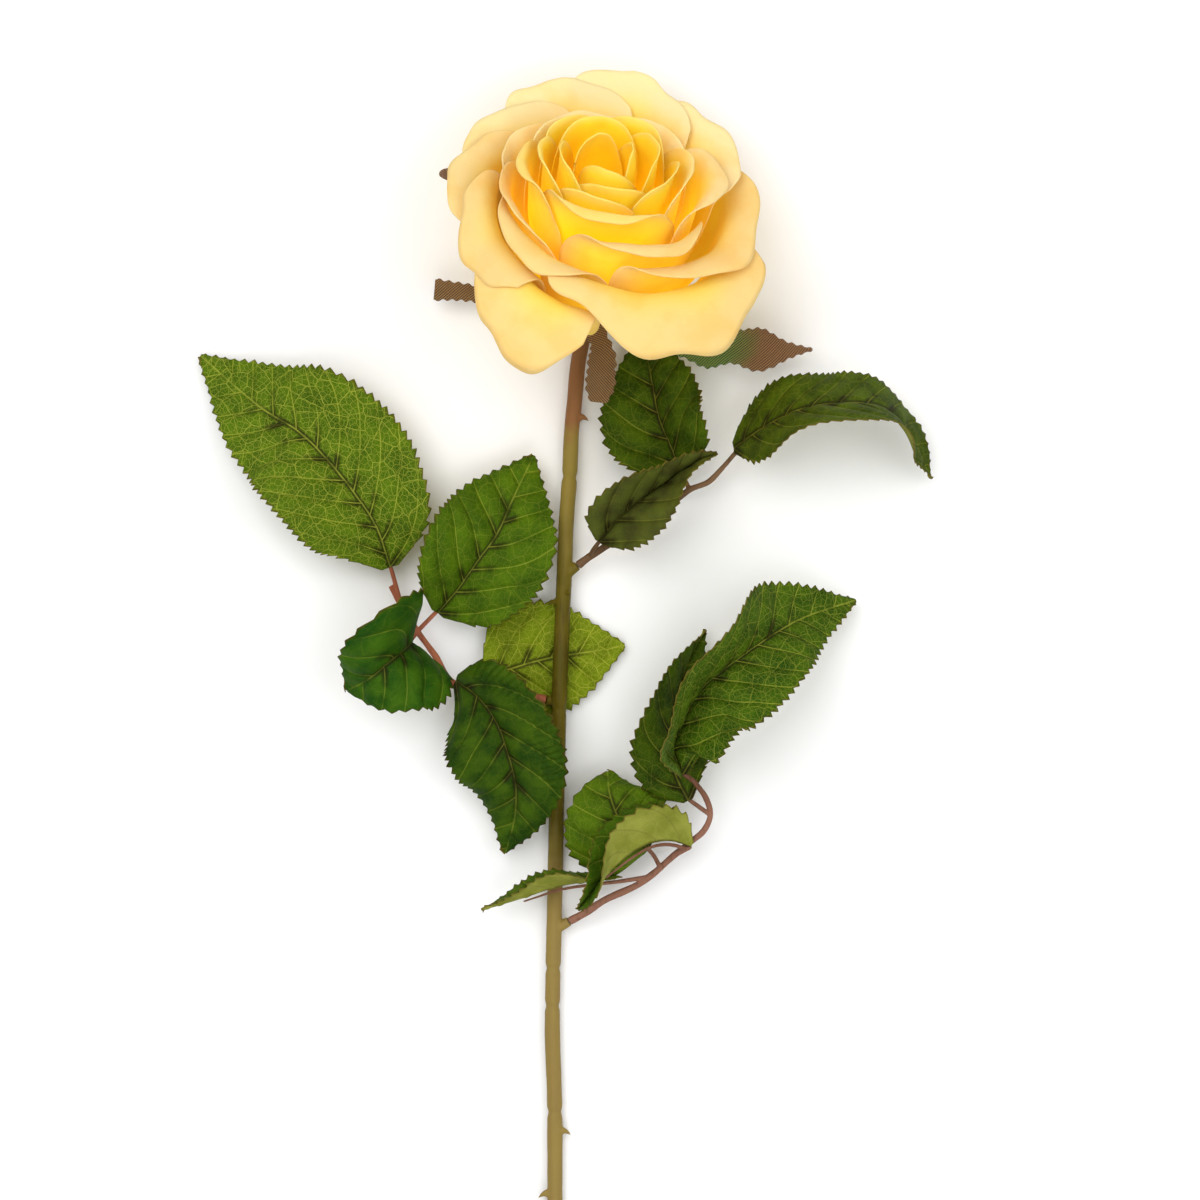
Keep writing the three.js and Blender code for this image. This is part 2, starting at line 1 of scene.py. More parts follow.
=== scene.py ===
"""An artificial rose lying on a pale floor, seen from straight above.

Shapes are worked out in millimetres in the part's drawing frame: the origin is at the stem's cut end,
+Y points towards the bloom and z = 0 is the floor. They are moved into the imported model's frame, in
metres, as each mesh is made.
"""
import math
import bpy
import numpy as np
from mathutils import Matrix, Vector


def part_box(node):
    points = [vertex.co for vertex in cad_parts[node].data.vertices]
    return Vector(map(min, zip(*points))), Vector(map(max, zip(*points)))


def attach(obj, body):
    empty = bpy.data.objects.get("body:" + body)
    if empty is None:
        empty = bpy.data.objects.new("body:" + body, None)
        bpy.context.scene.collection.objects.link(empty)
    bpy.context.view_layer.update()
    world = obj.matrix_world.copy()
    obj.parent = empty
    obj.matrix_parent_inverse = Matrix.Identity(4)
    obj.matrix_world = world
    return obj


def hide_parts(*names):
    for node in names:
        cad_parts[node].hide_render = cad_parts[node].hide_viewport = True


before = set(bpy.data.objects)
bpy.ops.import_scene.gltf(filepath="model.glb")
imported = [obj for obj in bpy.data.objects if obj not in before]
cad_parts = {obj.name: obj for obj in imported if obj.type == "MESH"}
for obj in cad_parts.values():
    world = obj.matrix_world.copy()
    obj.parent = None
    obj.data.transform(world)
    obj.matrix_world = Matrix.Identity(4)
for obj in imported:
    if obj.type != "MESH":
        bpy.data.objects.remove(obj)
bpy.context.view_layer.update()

# -------- sizes shared with the CAD part, in mm and degrees
CLEARANCE = 0.3
STEM_RADIUS = 2.45
NOTCH_DEPTH = 0.45
SOCKET_RADIUS = 1.8
STALK_RADIUS = 1.25
RIB_RADIUS = 0.62
CAD_LEAF_THICKNESS = 0.6
HEAD_TILT = 48
HEAD_LEAN = 9
HEAD_BASE = np.array([9, 423, 17.5])
CALYX_LENGTH = 13
CALYX_RADIUS = 6.8
CALYX_RIM = 7.9
LAYER_TURN = 72
OUTER_LEAN = 26
LEAN_HEIGHT = 26
LEAN_FROM = 20
LEAN_RADIUS = 62
CLAW = [0.42, 0.78, 0.96, 1.0, 0.95, 0.8]
LEAF_OUTLINE = [0.12, 0.72, 0.93, 1, 0.96, 0.83, 0.61, 0.33, 0.03]
NOTCHES = [164, 210, 198, 293, 367]
BACK_SEPAL_SHELL = 1

# -------- sizes of the visible fabric and moulding, in mm

PETAL_THICKNESS = 0.34
LEAF_THICKNESS = 0.36
SEPAL_THICKNESS = 0.32
PETAL_WEAVE = 0.45
LEAF_WEAVE = 0.5
SEPAL_WEAVE = 0.95
VEIN_PITCH = 9.0
VEIN_SLANT = 0.75
VEIN_BEND = 0.012
TOOTH_PITCH = 2.7
TOOTH_DEPTH = 1.6
ROWS_PER_TOOTH = 8
TOOTH_RISE = 0.75
STALK_VOXEL = 0.2
STEM_VOXEL = 0.34
BACK_SEPAL_FROM = 0.12

# -------- outlines and places of the pieces

BOWLS = [
  { "r": [1.5, 4.5, 6.5, 7.5, 7.5, 6.5, 4.5, 2], "h": [14, 22, 30, 38, 45, 52, 58, 62] },
  { "r": [3.5, 10, 14.5, 16.5, 17, 17.2, 18, 20.5], "h": [11, 18, 27, 36.5, 45, 52.5, 57.5, 59] },
  { "r": [5.5, 14, 20, 23, 24, 24.8, 27, 31.5], "h": [8, 13, 21.5, 31, 40.5, 48.5, 53, 51] },
  { "r": [7.5, 17.5, 25, 29.5, 31.5, 33, 37.5, 43.5], "h": [5, 8.5, 16, 25, 34, 41.5, 45, 43.5] },
  { "r": [9.5, 21, 30, 36, 39, 42.5, 51.5, 63.5], "h": [2, 3.5, 9.5, 18, 27, 34.5, 36, 30.5] },
]

RINGS = [
  {
    "shell": 0.05, "layer": 0.03, "round": 0.24,
    "petals": [[262, 95, 0.8, 0, 0], [128, 75, 0.9, 0, 0], [15, 80, 0.87, 0, 0]],
  },
  {
    "shell": 0.2, "layer": 0.05, "round": 0.22,
    "petals": [[278, 72, 0.76, 0, 0], [200, 60, 0.87, 0, 0], [112, 66, 0.9, 0, 0], [22, 66, 0.87, 0, 0]],
  },
  {
    "shell": 0.34, "layer": 0.055, "round": 0.25,
    "petals": [
      [262, 56, 0.79, 0, 0], [195, 52, 0.9, 0, 0], [135, 50, 0.86, 0, 0], [68, 52, 0.86, 0, 0],
      [345, 56, 0.85, 0, 0],
    ],
  },
  {
    "shell": 0.48, "layer": 0.06, "round": 0.3,
    "petals": [
      [272, 68, 0.95, 0, 0], [196, 50, 0.93, 0, 0], [140, 46, 0.84, 0, 0], [78, 48, 0.82, 0, 0],
      [10, 52, 0.88, 0, 0],
    ],
  },
  {
    "shell": 0.67, "layer": 0.1, "round": 0.24,
    "petals": [
      [303, 56, 0.93, 0, 0], [236, 47, 0.93, 0, 0.09], [206, 50, 0.86, 0, 0], [152, 38, 0.85, 0.01, 0],
      [112, 42, 0.83, 0.01, 0], [66, 44, 0.84, 0, 0], [12, 46, 0.97, 0.01, 0],
    ],
  },
  {
    "shell": 0.89, "layer": 0.16, "round": 0.12,
    "petals": [
      [302, 60, 0.98, -0.02, 0.03], [246, 32, 0.97, 0, 0.06], [212, 38, 0.97, 0.01, -0.06],
      [172, 36, 0.9, 0.01, 0], [141, 34, 0.92, 0, 0], [112, 34, 0.96, 0.01, 0], [83, 34, 1, 0.01, 0],
      [46, 38, 0.95, 0.01, 0], [353, 56, 0.9, 0.01, 0],
    ],
  },
]

LEAVES = {
  "left_leaf_1": {
    "midrib": [
      [-54, 338, 9], [-58.5, 351, 12], [-65, 361, 13.5], [-73, 371, 14], [-82.5, 380.5, 12.5],
      [-95, 388.5, 8.5], [-115, 405.5, 3],
    ],
    "width": 25, "left": [15, 25, 25, 10, 0], "right": [25, 15, 5, 0, -5], "curl": -12,
  },
  "left_leaf_2": {
    "midrib": [
      [-39, 323.5, 9.5], [-33, 330.5, 12], [-26.5, 339.5, 14.5], [-20, 348.5, 15], [-15.5, 358.5, 13],
      [-8.5, 373.5, 8],
    ],
    "width": 21.5, "left": [45, 50, 30, 10, 0], "right": [10, 10, 8, 5, 0], "curl": -16,
  },
  "left_leaf_3": {
    "midrib": [[-47, 314, 11], [-49.5, 311.5, 22], [-53.5, 308, 29], [-59.5, 303, 29], [-67, 299, 22]],
    "width": 21, "left": [10, 10, 0, -5, -5], "right": [60, 68, 60, 40, 10], "curl": -20, "sweep": 0.4,
  },
  "left_leaf_4": {
    "midrib": [
      [-33, 302, 10], [-26, 297, 14], [-20, 289, 17], [-16.5, 279.5, 18], [-14, 269, 16], [-14.5, 258, 12],
      [-17.5, 247, 8],
    ],
    "width": 19.5, "left": [60, 62, 45, 30, 0], "right": [0, 15, 15, 10, 0], "curl": -50,
  },
  "left_leaf_5": {
    "midrib": [[-24.5, 302.5, 3.5], [-14.5, 306, 2.4], [-3.5, 309, 2.2], [9.5, 311, 2.2], [20.5, 313, 3]],
    "width": 19, "left": [0, 0, 0, 0, 0], "right": [0, 0, 0, 0, 0], "curl": 0,
  },
  "upper_leaf_1": {
    "midrib": [
      [55, 375.5, 14], [64.5, 382, 23], [75, 387, 29], [87.5, 389, 31], [100.5, 388, 27], [110, 380.5, 17],
      [118, 366.5, 4],
    ],
    "width": 18, "left": [-35, -50, -55, -60, -50], "right": [45, 60, 72, 72, 60], "curl": 0,
  },
  "upper_leaf_2": {
    "midrib": [
      [12.5, 346, 14], [18.5, 353.5, 17], [25, 359, 18], [33, 364.5, 18], [41, 370, 18], [49.5, 374, 17],
    ],
    "width": 16, "left": [50, 65, 70, 75, 75], "right": [45, 45, 60, 75, 80], "curl": -20,
  },
  "upper_leaf_3": {
    "midrib": [
      [39, 366, 12], [35, 376.5, 10.5], [31.5, 385, 9.5], [29.5, 395, 8.5], [28, 403.5, 7], [26, 413.5, 5],
    ],
    "width": 19, "left": [20, 15, 5, 0, 0], "right": [40, 50, 45, 40, 20], "curl": -14,
  },
  "lower_leaf_1": {
    "midrib": [
      [38.5, 272.5, 20], [35.5, 281, 23], [38, 288.5, 26], [44, 299.5, 28], [51.5, 306, 28],
      [63.5, 314.5, 24], [76, 321.5, 16], [94, 327.5, 6],
    ],
    "width": 21.5, "left": [80, 84, 65, 10, -5], "right": [30, 40, 25, 25, 10], "curl": -14,
  },
  "lower_leaf_2": {
    "midrib": [
      [40.5, 264, 15], [36, 273.5, 15], [35, 285, 14], [36.5, 296, 12], [40.5, 308, 9], [46, 318, 5],
    ],
    "width": 14, "left": [10, 25, 60, 75, 70], "right": [0, -10, -15, -15, 0], "curl": -20,
  },
  "lower_leaf_3": {
    "midrib": [[28, 248.5, 10], [22.5, 252.5, 14], [18, 259.5, 16.5], [15.5, 267, 14], [15, 273, 8]],
    "width": 19.5, "left": [0, 0, 0, 0, 0], "right": [0, 0, 0, 0, 0], "curl": -24,
  },
  "lower_leaf_4": {
    "midrib": [
      [41.5, 249.5, 13], [35, 251.5, 17], [28.5, 251, 21], [22, 247.5, 23], [15, 241.5, 24],
      [10, 235.5, 23], [5.5, 230, 19],
    ],
    "width": 13, "left": [165, 160, 140, 80, 60], "right": [-15, -15, 0, 50, 60], "curl": 0,
  },
  "lower_leaf_5": {
    "midrib": [[19.5, 239.5, 10], [9.5, 238.5, 13], [-0.5, 237, 14], [-11, 233.5, 13], [-25, 229, 9]],
    "width": 8.5, "left": [95, 100, 118, 118, 118], "right": [-80, -70, -50, -50, -50], "curl": 0,
  },
}

SPRAYS = {
  "left_stalk": {
    "stalk": [
      [-4.8, 295.8, 5.4], [-13, 297.5, 7], [-24, 300, 8], [-34, 301, 8], [-40, 310, 8], [-45.5, 317.5, 8],
      [-50.5, 325.5, 8], [-54, 332, 8],
    ],
    "leaflets": {
      "left_leaf_1": [[-50.5, 325.5, 8]],
      "left_leaf_2": [[-45.5, 317.5, 8]],
      "left_leaf_3": [[-45.5, 317.5, 8]],
      "left_leaf_4": [[-34, 301, 8]],
      "left_leaf_5": [[-34, 301, 8], [-29, 301.5, 4.5], [-26.5, 302, 2.8]],
    },
  },
  "upper_stalk": {
    "stalk": [
      [5.6, 338.6, 6.6], [9.5, 341.5, 7.5], [17.5, 346.5, 8.5], [27, 353, 9.5], [36.5, 359, 10.5],
      [41, 362.5, 11.3], [47, 365, 12], [51.5, 369.5, 12.6],
    ],
    "leaflets": {
      "upper_leaf_1": [[51.5, 369.5, 12.6]],
      "upper_leaf_2": [[9.5, 341.5, 7.5], [10.5, 343.5, 11]],
      "upper_leaf_3": [[41, 362.5, 11.3]],
    },
  },
  "lower_stalk": {
    "stalk": [
      [3, 225.2, 4.8], [8, 228, 6], [14, 232, 7], [24.5, 237, 8.5], [30, 241, 9.5], [35.5, 246, 10.5],
      [41, 250.5, 11], [45.5, 254.5, 12.5], [47.5, 259.5, 14], [46, 265, 16], [42.5, 270, 18],
    ],
    "leaflets": {
      "lower_leaf_1": [[42.5, 270, 18]],
      "lower_leaf_2": [[47.5, 259.5, 14], [44, 262, 14.5]],
      "lower_leaf_3": [[31.5, 243, 10], [29.5, 246.5, 8.5]],
      "lower_leaf_4": [[35.5, 246, 10.5], [41, 249, 11]],
      "lower_leaf_5": [[28, 239.5, 9]],
    },
  },
}

STEM_PATH = [
  [-1, 0, 2.5], [-1.6, 90, 2.5], [-1.8, 136, 2.6], [-1.9, 167, 2.6], [-2.6, 189, 2.8], [-2.4, 209, 3.2],
  [-2.1, 221, 3.4], [-1.6, 244, 4], [-0.6, 289, 6], [0.3, 314, 6.4], [1.1, 333, 6], [1.9, 353, 5.2],
  [2.9, 367, 4.6], [3.5, 381, 4.2], [4.5, 391, 4.2], [5.6, 403, 5],
]

# distance along the stem, turn about it in degrees, size
THORNS = [
  (386, 0, 2.6), (327, 180, 2.4), (330, 60, 2), (158, 10, 2.6),
  (138, 170, 2.8), (70, 90, 2.6), (103, 30, 2.4), (40, 150, 2.6),
]

BACK_SEPALS = { "sepal_4": [174, 7, 0.86, 0, 0], "sepal_5": [60, 9, 0.72, 0, 0] }

# azimuth of the root, points from the head's base, half width, share of it along the sepal
SEPALS = {
  "sepal_1": (
    335, [[23, -12.4, -3.2], [41, -14.5, -1.5], [57, -16.5, -3.5], [71, -16, -6.5]],
    8, [0.8, 0.75, 0.5, 0.62, 1, 0.7, 0.86, 0.35, 0.04],
  ),
  "sepal_2": (
    275, [[4, -16, 4.5], [4, -24, 2.5], [3, -33, -1.5]],
    5, [0.8, 0.75, 0.6, 0.7, 0.9, 0.9, 0.95, 0.85, 0.5],
  ),
  "sepal_3": (
    205, [[-25, 0, -8.5], [-41, 2.5, -8.5], [-49, 3.2, -8]],
    4.2, [0.8, 0.75, 0.5, 0.42, 0.7, 0.6, 0.62, 0.7, 0.85],
  ),
}

# -------- small numeric tools


def through(values, x):
    """A smooth value through evenly spaced numbers or arrays, for x from 0 to 1."""
    x = np.asarray(x, float)
    stack = np.stack([np.asarray(v, float) + np.zeros_like(x) for v in values])
    last = len(values) - 1
    at = np.clip(x, 0, 1) * last
    i = np.minimum(at.astype(int), last - 1)
    t = at - i

    def pick(k):
        return np.take_along_axis(stack, np.clip(k, 0, last)[None], 0)[0]

    b, c = pick(i), pick(i + 1)
    a = np.where(i > 0, pick(i - 1), 2 * b - c)
    d = np.where(i < last - 1, pick(i + 2), 2 * c - b)
    return b + 0.5 * t * (c - a + t * (2 * a - 5 * b + 4 * c - d + t * (3 * (b - c) + d - a)))


def smooth(x, low=0.0, high=1.0):
    t = np.clip((np.asarray(x, float) - low) / (high - low), 0, 1)
    return t * t * (3 - 2 * t)


def unit(v):
    return v / np.maximum(np.linalg.norm(v, axis=-1, keepdims=True), 1e-9)


class Curve:
    """A centripetal Catmull-Rom curve through points, read by its share of length."""

    def __init__(self, points):
        p = np.array(points, float)
        p = np.vstack([2 * p[0] - p[1], p, 2 * p[-1] - p[-2]])
        out = []
        for k in range(1, len(p) - 2):
            p0, p1, p2, p3 = p[k - 1:k + 3]
            steps = ((p0, p1), (p1, p2), (p2, p3))
            d0, d1, d2 = (max(np.linalg.norm(b - a), 1e-6) ** 0.5 for a, b in steps)
            t1 = ((p1 - p0) / d0 - (p2 - p0) / (d0 + d1) + (p2 - p1) / d1) * d1
            t2 = ((p2 - p1) / d1 - (p3 - p1) / (d1 + d2) + (p3 - p2) / d2) * d1
            w = np.linspace(0, 1, 80, endpoint=False)[:, None]
            second = -3 * p1 + 3 * p2 - 2 * t1 - t2
            third = 2 * p1 - 2 * p2 + t1 + t2
            out.append(p1 + t1 * w + second * w**2 + third * w**3)
        self.p = np.vstack(out + [p[-2][None]])
        step = np.linalg.norm(np.diff(self.p, axis=0), axis=1)
        self.s = np.concatenate([[0], np.cumsum(step)])
        self.length = self.s[-1]
        self.d = unit(np.gradient(self.p, axis=0))

    def at(self, t):
        s = np.clip(t, 0, 1) * self.length
        return np.stack([np.interp(s, self.s, self.p[:, k]) for k in range(3)], -1)

    def tangent(self, t):
        s = np.clip(t, 0, 1) * self.length
        return unit(np.stack([np.interp(s, self.s, self.d[:, k]) for k in range(3)], -1))


# -------- the flower's own frame

tilt, lean = math.radians(HEAD_TILT), math.radians(HEAD_LEAN)
AXIS = np.array([math.sin(tilt) * math.sin(lean), math.sin(tilt) * math.cos(lean), math.cos(tilt)])
BACK = np.array([math.cos(tilt) * math.sin(lean), math.cos(tilt) * math.cos(lean), -math.sin(tilt)])
SIDE = np.cross(BACK, AXIS)


def in_head(x, y, h):
    x, y, h = (np.asarray(v, float)[..., None] for v in (x, y, h))
    return HEAD_BASE + x * SIDE + y * BACK + h * AXIS


def bowl(shell, v):
    r = through([through(b["r"], v) for b in BOWLS], shell)
    h = through([through(b["h"], v) for b in BOWLS], shell)
    return r, h


def petal_point(ring, petal, u, w, ruffle=None):
    """A point of a petal's surface; ruffle(phi, v, u) moves it through the shells."""
    azimuth, half, reach, wave, outward = petal
    rim = 1 - ring["round"] * np.abs(u) ** 2.4 + wave * np.cos(3 * np.pi * u)
    v = w * reach * (1 + (rim - 1) * w)
    turn = u * half * through(CLAW, w)
    s = ring["shell"] + outward + ring["layer"] * turn / LAYER_TURN
    phi = np.radians(azimuth + turn)
    if ruffle is not None:
        s = s + ruffle(phi, w, u)
    r, h = bowl(s, v)
    forward = math.radians(OUTER_LEAN) * np.maximum((r - LEAN_FROM) / (LEAN_RADIUS - LEAN_FROM), 0) ** 1.7
    y, up = r * np.sin(phi), h - LEAN_HEIGHT
    return in_head(
        r * np.cos(phi),
        y * np.cos(forward) - up * np.sin(forward),
        LEAN_HEIGHT + y * np.sin(forward) + up * np.cos(forward),
    )


def leaf_frame(curve, t):
    along = curve.tangent(t)
    side = unit(np.cross(along, np.array([0.0, 0, 1])))
    return curve.at(t), side, unit(np.cross(side, along))


def leaf_point(leaf, u, t, reach, lift):
    """A point of a leaflet at a share u of one half's reach, lifted off the surface by lift."""
    curve = leaf["curve"]
    centre, side, face = leaf_frame(curve, t)
    back = leaf.get("sweep", 0) * reach * np.abs(u) * (1 - t) ** 2
    centre = centre - curve.tangent(t) * back[..., None]
    fold = np.where(u < 0, through(leaf["left"], t), through(leaf["right"], t))
    angle = np.radians(fold + 0.5 * leaf["curl"] * np.abs(u))[..., None]
    sign = np.where(u < 0, -1.0, 1.0)[..., None]
    out = sign * side * np.cos(angle) + face * np.sin(angle)
    up = -sign * side * np.sin(angle) + face * np.cos(angle)
    return centre + out * (reach * np.abs(u))[..., None] + up * lift[..., None]


# -------- meshes


def surface_normals(p):
    return unit(np.cross(np.gradient(p, axis=1), np.gradient(p, axis=0)))


def make_object(name, verts, faces, uv=None, colours=None, material_ids=None, floats=None):
    """A smooth-shaded mesh object from points in the drawing frame. uv is one pair per point."""
    mesh = bpy.data.meshes.new(name)
    mesh.from_pydata(((verts + SHIFT) * 0.001).tolist(), [], faces)
    mesh.polygons.foreach_set("use_smooth", [True] * len(mesh.polygons))
    loops = np.zeros(len(mesh.loops), int)
    mesh.loops.foreach_get("vertex_index", loops)
    if uv is not None:
        layer = mesh.uv_layers.new(name="surface_mm")
        layer.data.foreach_set("uv", (uv[loops] * 0.01).ravel())
    for key, values in (colours or {}).items():
        attribute = mesh.attributes.new(key, "FLOAT_COLOR", "POINT")
        rgba = np.ones((len(verts), 4))
        rgba[:, :3] = values
        attribute.data.foreach_set("color", rgba.ravel())
    for key, values in (floats or {}).items():
        mesh.attributes.new(key, "FLOAT", "POINT").data.foreach_set("value", values)
    if material_ids is not None:
        mesh.polygons.foreach_set("material_index", material_ids)
    obj = bpy.data.objects.new(name, mesh)
    bpy.context.scene.collection.objects.link(obj)
    return obj


def solid_grid(p, thickness):
    """Points and faces of a closed thin solid on both sides of a grid of points."""
    rows, cols = p.shape[:2]
    n = surface_normals(p)
    half = np.broadcast_to(np.asarray(thickness) / 2, (rows, cols))[..., None]
    verts = np.vstack([(p + n * half).reshape(-1, 3), (p - n * half).reshape(-1, 3)])
    count = rows * cols
    grid = np.arange(count).reshape(rows, cols)
    a, b, c, d = grid[:-1, :-1], grid[:-1, 1:], grid[1:, 1:], grid[1:, :-1]
    top = np.stack([a, b, c, d], -1).reshape(-1, 4)
    under = np.stack([d, c, b, a], -1).reshape(-1, 4) + count
    loop = np.concatenate([grid[0, :-1], grid[:-1, -1], grid[-1, :0:-1], grid[:0:-1, 0]])
    after = np.roll(loop, -1)
    edge = np.stack([loop, loop + count, after + count, after], -1)
    faces = np.vstack([top, under, edge])
    ids = np.concatenate([np.zeros(len(top)), np.ones(len(under)), np.full(len(edge), 2)]).astype(int)
    return verts, faces.tolist(), ids


def tube(curve, radius_at, steps, sides):
    """Points and faces of a closed tube along a curve."""
    t = np.linspace(0, 1, steps + 1)
    centre, along = curve.at(t), curve.tangent(t)
    normal = unit(np.cross(along[0], [0.3, 0.2, 1.0]))
    rings = []
    for k in range(steps + 1):
        normal = unit(normal - along[k] * (normal @ along[k]))
        other = np.cross(along[k], normal)
        angle = np.linspace(0, 2 * np.pi, sides, endpoint=False)
        r = radius_at(t[k], angle)
        spokes = np.outer(np.cos(angle) * r, normal) + np.outer(np.sin(angle) * r, other)
        rings.append(centre[k] + spokes)
    verts = np.vstack(rings + [centre[:1], centre[-1:]])
    faces = []
    for k in range(steps):
        for i in range(sides):
            j = (i + 1) % sides
            faces.append([k * sides + i, k * sides + j, (k + 1) * sides + j, (k + 1) * sides + i])
    first = (steps + 1) * sides
    for i in range(sides):
        j = (i + 1) % sides
        faces.append([first, j, i])
        faces.append([first + 1, steps * sides + i, steps * sides + j])
    return verts, faces


def merged(parts):
    """Points and faces of several shapes as one list of each."""
    verts, faces, count = [], [], 0
    for v, f in parts:
        verts.append(v)
        faces += [[k + count for k in face] for face in f]
        count += len(v)
    return np.vstack(verts), faces


def remeshed(name, parts, voxel_mm, smoothing=4):
    """One closed object from overlapping closed shapes."""
    obj = make_object(name, *merged(parts))
    steps = {
        "REMESH": {"mode": "VOXEL", "voxel_size": voxel_mm * 0.001, "use_smooth_shade": True},
        "SMOOTH": {"factor": 0.5, "iterations": smoothing},
    }
    for kind, settings in steps.items():
        modifier = obj.modifiers.new(kind.lower(), kind)
        for key, value in settings.items():
            setattr(modifier, key, value)
    depsgraph = bpy.context.evaluated_depsgraph_get()
    mesh = bpy.data.meshes.new_from_object(obj.evaluated_get(depsgraph))
    obj.modifiers.clear()
    obj.data = mesh
    mesh.polygons.foreach_set("use_smooth", [True] * len(mesh.polygons))
    return obj


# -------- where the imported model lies

for leaf in LEAVES.values():
    leaf["curve"] = Curve(leaf["midrib"])


def cad_leaf_box(name):
    """The box of a leaflet's CAD solid in the drawing frame."""
    leaf = LEAVES[name]
    u, t = np.meshgrid(np.linspace(-1, 1, 5), np.linspace(0, 1, 10))

    def middle(u, t):
        return leaf_point(leaf, u, t, leaf["width"] * through(LEAF_OUTLINE, t), np.zeros_like(t))

    fine = 0.004
    low, high = np.maximum(t - fine, 0), np.minimum(t + fine, 1)
    p = middle(u, t)
    du = middle(u + fine, t) - middle(u - fine, t)
    dv = middle(u, high) - middle(u, low)
    n = unit(np.cross(du, dv)) * CAD_LEAF_THICKNESS / 2
    both = np.vstack([(p + n).reshape(-1, 3), (p - n).reshape(-1, 3)])
    return both.min(0), both.max(0)


def packed_shift(name):
    """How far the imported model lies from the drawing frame, in mm, read off one leaflet."""
    low, high = cad_leaf_box(name)
    packed_low, packed_high = (np.array(c) * 1000 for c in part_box(name))
    return ((packed_low + packed_high) - (low + high)) / 2


SHIFT = packed_shift("left_leaf_2")

# -------- node materials


class Material:
    """A node material with a Principled shader and short ways to add what feeds it."""

    def __init__(self, name, **uniform):
        self.data = bpy.data.materials.new(name)
        self.data.use_nodes = True
        self.tree = self.data.node_tree
        self.shader = self.tree.nodes["Principled BSDF"]
        for key, value in uniform.items():
            self.shader.inputs[key.replace("_", " ")].default_value = value

    def node(self, kind, inputs=(), **settings):
        node = self.tree.nodes.new("ShaderNode" + kind)
        for key, value in settings.items():
            setattr(node, key, value)
        for key, value in dict(inputs).items():
            self.feed(node.inputs[key], value)
        return node

    def feed(self, socket, value):
        if isinstance(value, bpy.types.NodeSocket):
            self.tree.links.new(value, socket)
        else:
            socket.default_value = value

    def math(self, operation, a, b=0.0, clamp=False):
        return self.node("Math", {0: a, 1: b}, operation=operation, use_clamp=clamp).outputs[0]

    def band(self, value, low, high, to_low=0.0, to_high=1.0):
        """value taken smoothly from low..high to to_low..to_high."""
        inputs = {"Value": value, "From Min": low, "From Max": high, "To Min": to_low, "To Max": to_high}
        return self.node("MapRange", inputs, interpolation_type="SMOOTHSTEP").outputs[0]

    def mix(self, share, a, b, blend="MIX"):
        node = self.node("Mix", data_type="RGBA", blend_type=blend)
        for index, value in ((0, share), (6, a), (7, b)):
            self.feed(node.inputs[index], value)
        return node.outputs[2]

    def attribute(self, name, output="Color"):
        return self.node("Attribute", attribute_name=name).outputs[output]

    def surface_mm(self):
        """The surface's own coordinates, raw and as millimetres across and along."""
        uv = self.node("UVMap", uv_map="surface_mm").outputs[0]
        split = self.node("SeparateXYZ", {0: uv})
        across, along = (self.math("MULTIPLY", split.outputs[k], 100.0) for k in (0, 1))
        return uv, across, along

    def noise(self, vector, scale, detail=2.0, roughness=0.5):
        inputs = {"Vector": vector, "Scale": scale, "Detail": detail, "Roughness": roughness}
        return self.node("TexNoise", inputs).outputs[0]

    def bump(self, height, distance_mm, strength=1.0, normal=None):
        inputs = {"Height": height, "Distance": distance_mm * 0.001, "Strength": strength}
        if normal is not None:
            inputs["Normal"] = normal
        return self.node("Bump", inputs).outputs[0]

    def scaled(self, vector, by):
        return self.node("VectorMath", {0: vector, 1: by}, operation="MULTIPLY").outputs[0]

    def object_mm(self):
        coordinates = self.node("TexCoord").outputs["Object"]
        return self.scaled(coordinates, (1000.0,) * 3)


def srgb(*rgb):
    """A linear colour from display values of 0 to 255."""
    c = np.array(rgb[:3], float) / 255
    return tuple(np.where(c <= 0.04045, c / 12.92, ((c + 0.055) / 1.055) ** 2.4))


def rgba(*rgb):
    return (*srgb(*rgb), 1.0)


def weave_height(m, across, along, pitch_mm):
    """Plain weave: threads over and under each other at pitch_mm."""
    a = m.math("SINE", m.math("MULTIPLY", across, 2 * math.pi / pitch_mm))
    b = m.math("SINE", m.math("MULTIPLY", along, 2 * math.pi / pitch_mm))
    return m.math("MULTIPLY", a, b)


def petal_material():
    """Thin satin: the tint painted on each petal, mottled, woven, and a painted glow that it emits,
    strongest away from its rim.
    """
    m = Material("petal_satin", Roughness=0.6, Sheen_Weight=0.05, Sheen_Roughness=0.4,
                 Subsurface_Weight=0.2, Subsurface_Scale=0.003, Specular_IOR_Level=0.12,
                 Subsurface_Radius=(1.0, 0.8, 0.5))
    _, across, along = m.surface_mm()
    place = m.object_mm()
    mottle = m.noise(place, 0.09, 3.0)
    tint = m.attribute("tint")
    deeper = m.mix(1.0, tint, rgba(255, 226, 170), "MULTIPLY")
    colour = m.mix(m.band(mottle, 0.42, 0.7, 0.0, 0.35), tint, deeper)
    m.feed(m.shader.inputs["Base Color"], colour)
    # painted glow: the petal emits its own colour, as strongly as its glow attribute says
    m.feed(m.shader.inputs["Emission Color"], m.mix(1.0, colour, rgba(240, 240, 180), "MULTIPLY"))
    m.feed(m.shader.inputs["Emission Strength"], m.attribute("glow", "Fac"))
    creases = m.noise(place, 0.28, 4.0, 0.55)
    soft = m.bump(creases, 0.35, 0.5)
    weave = weave_height(m, across, along, PETAL_WEAVE)
    m.feed(m.shader.inputs["Normal"], m.bump(weave, 0.02, 0.5, soft))
    return m.data


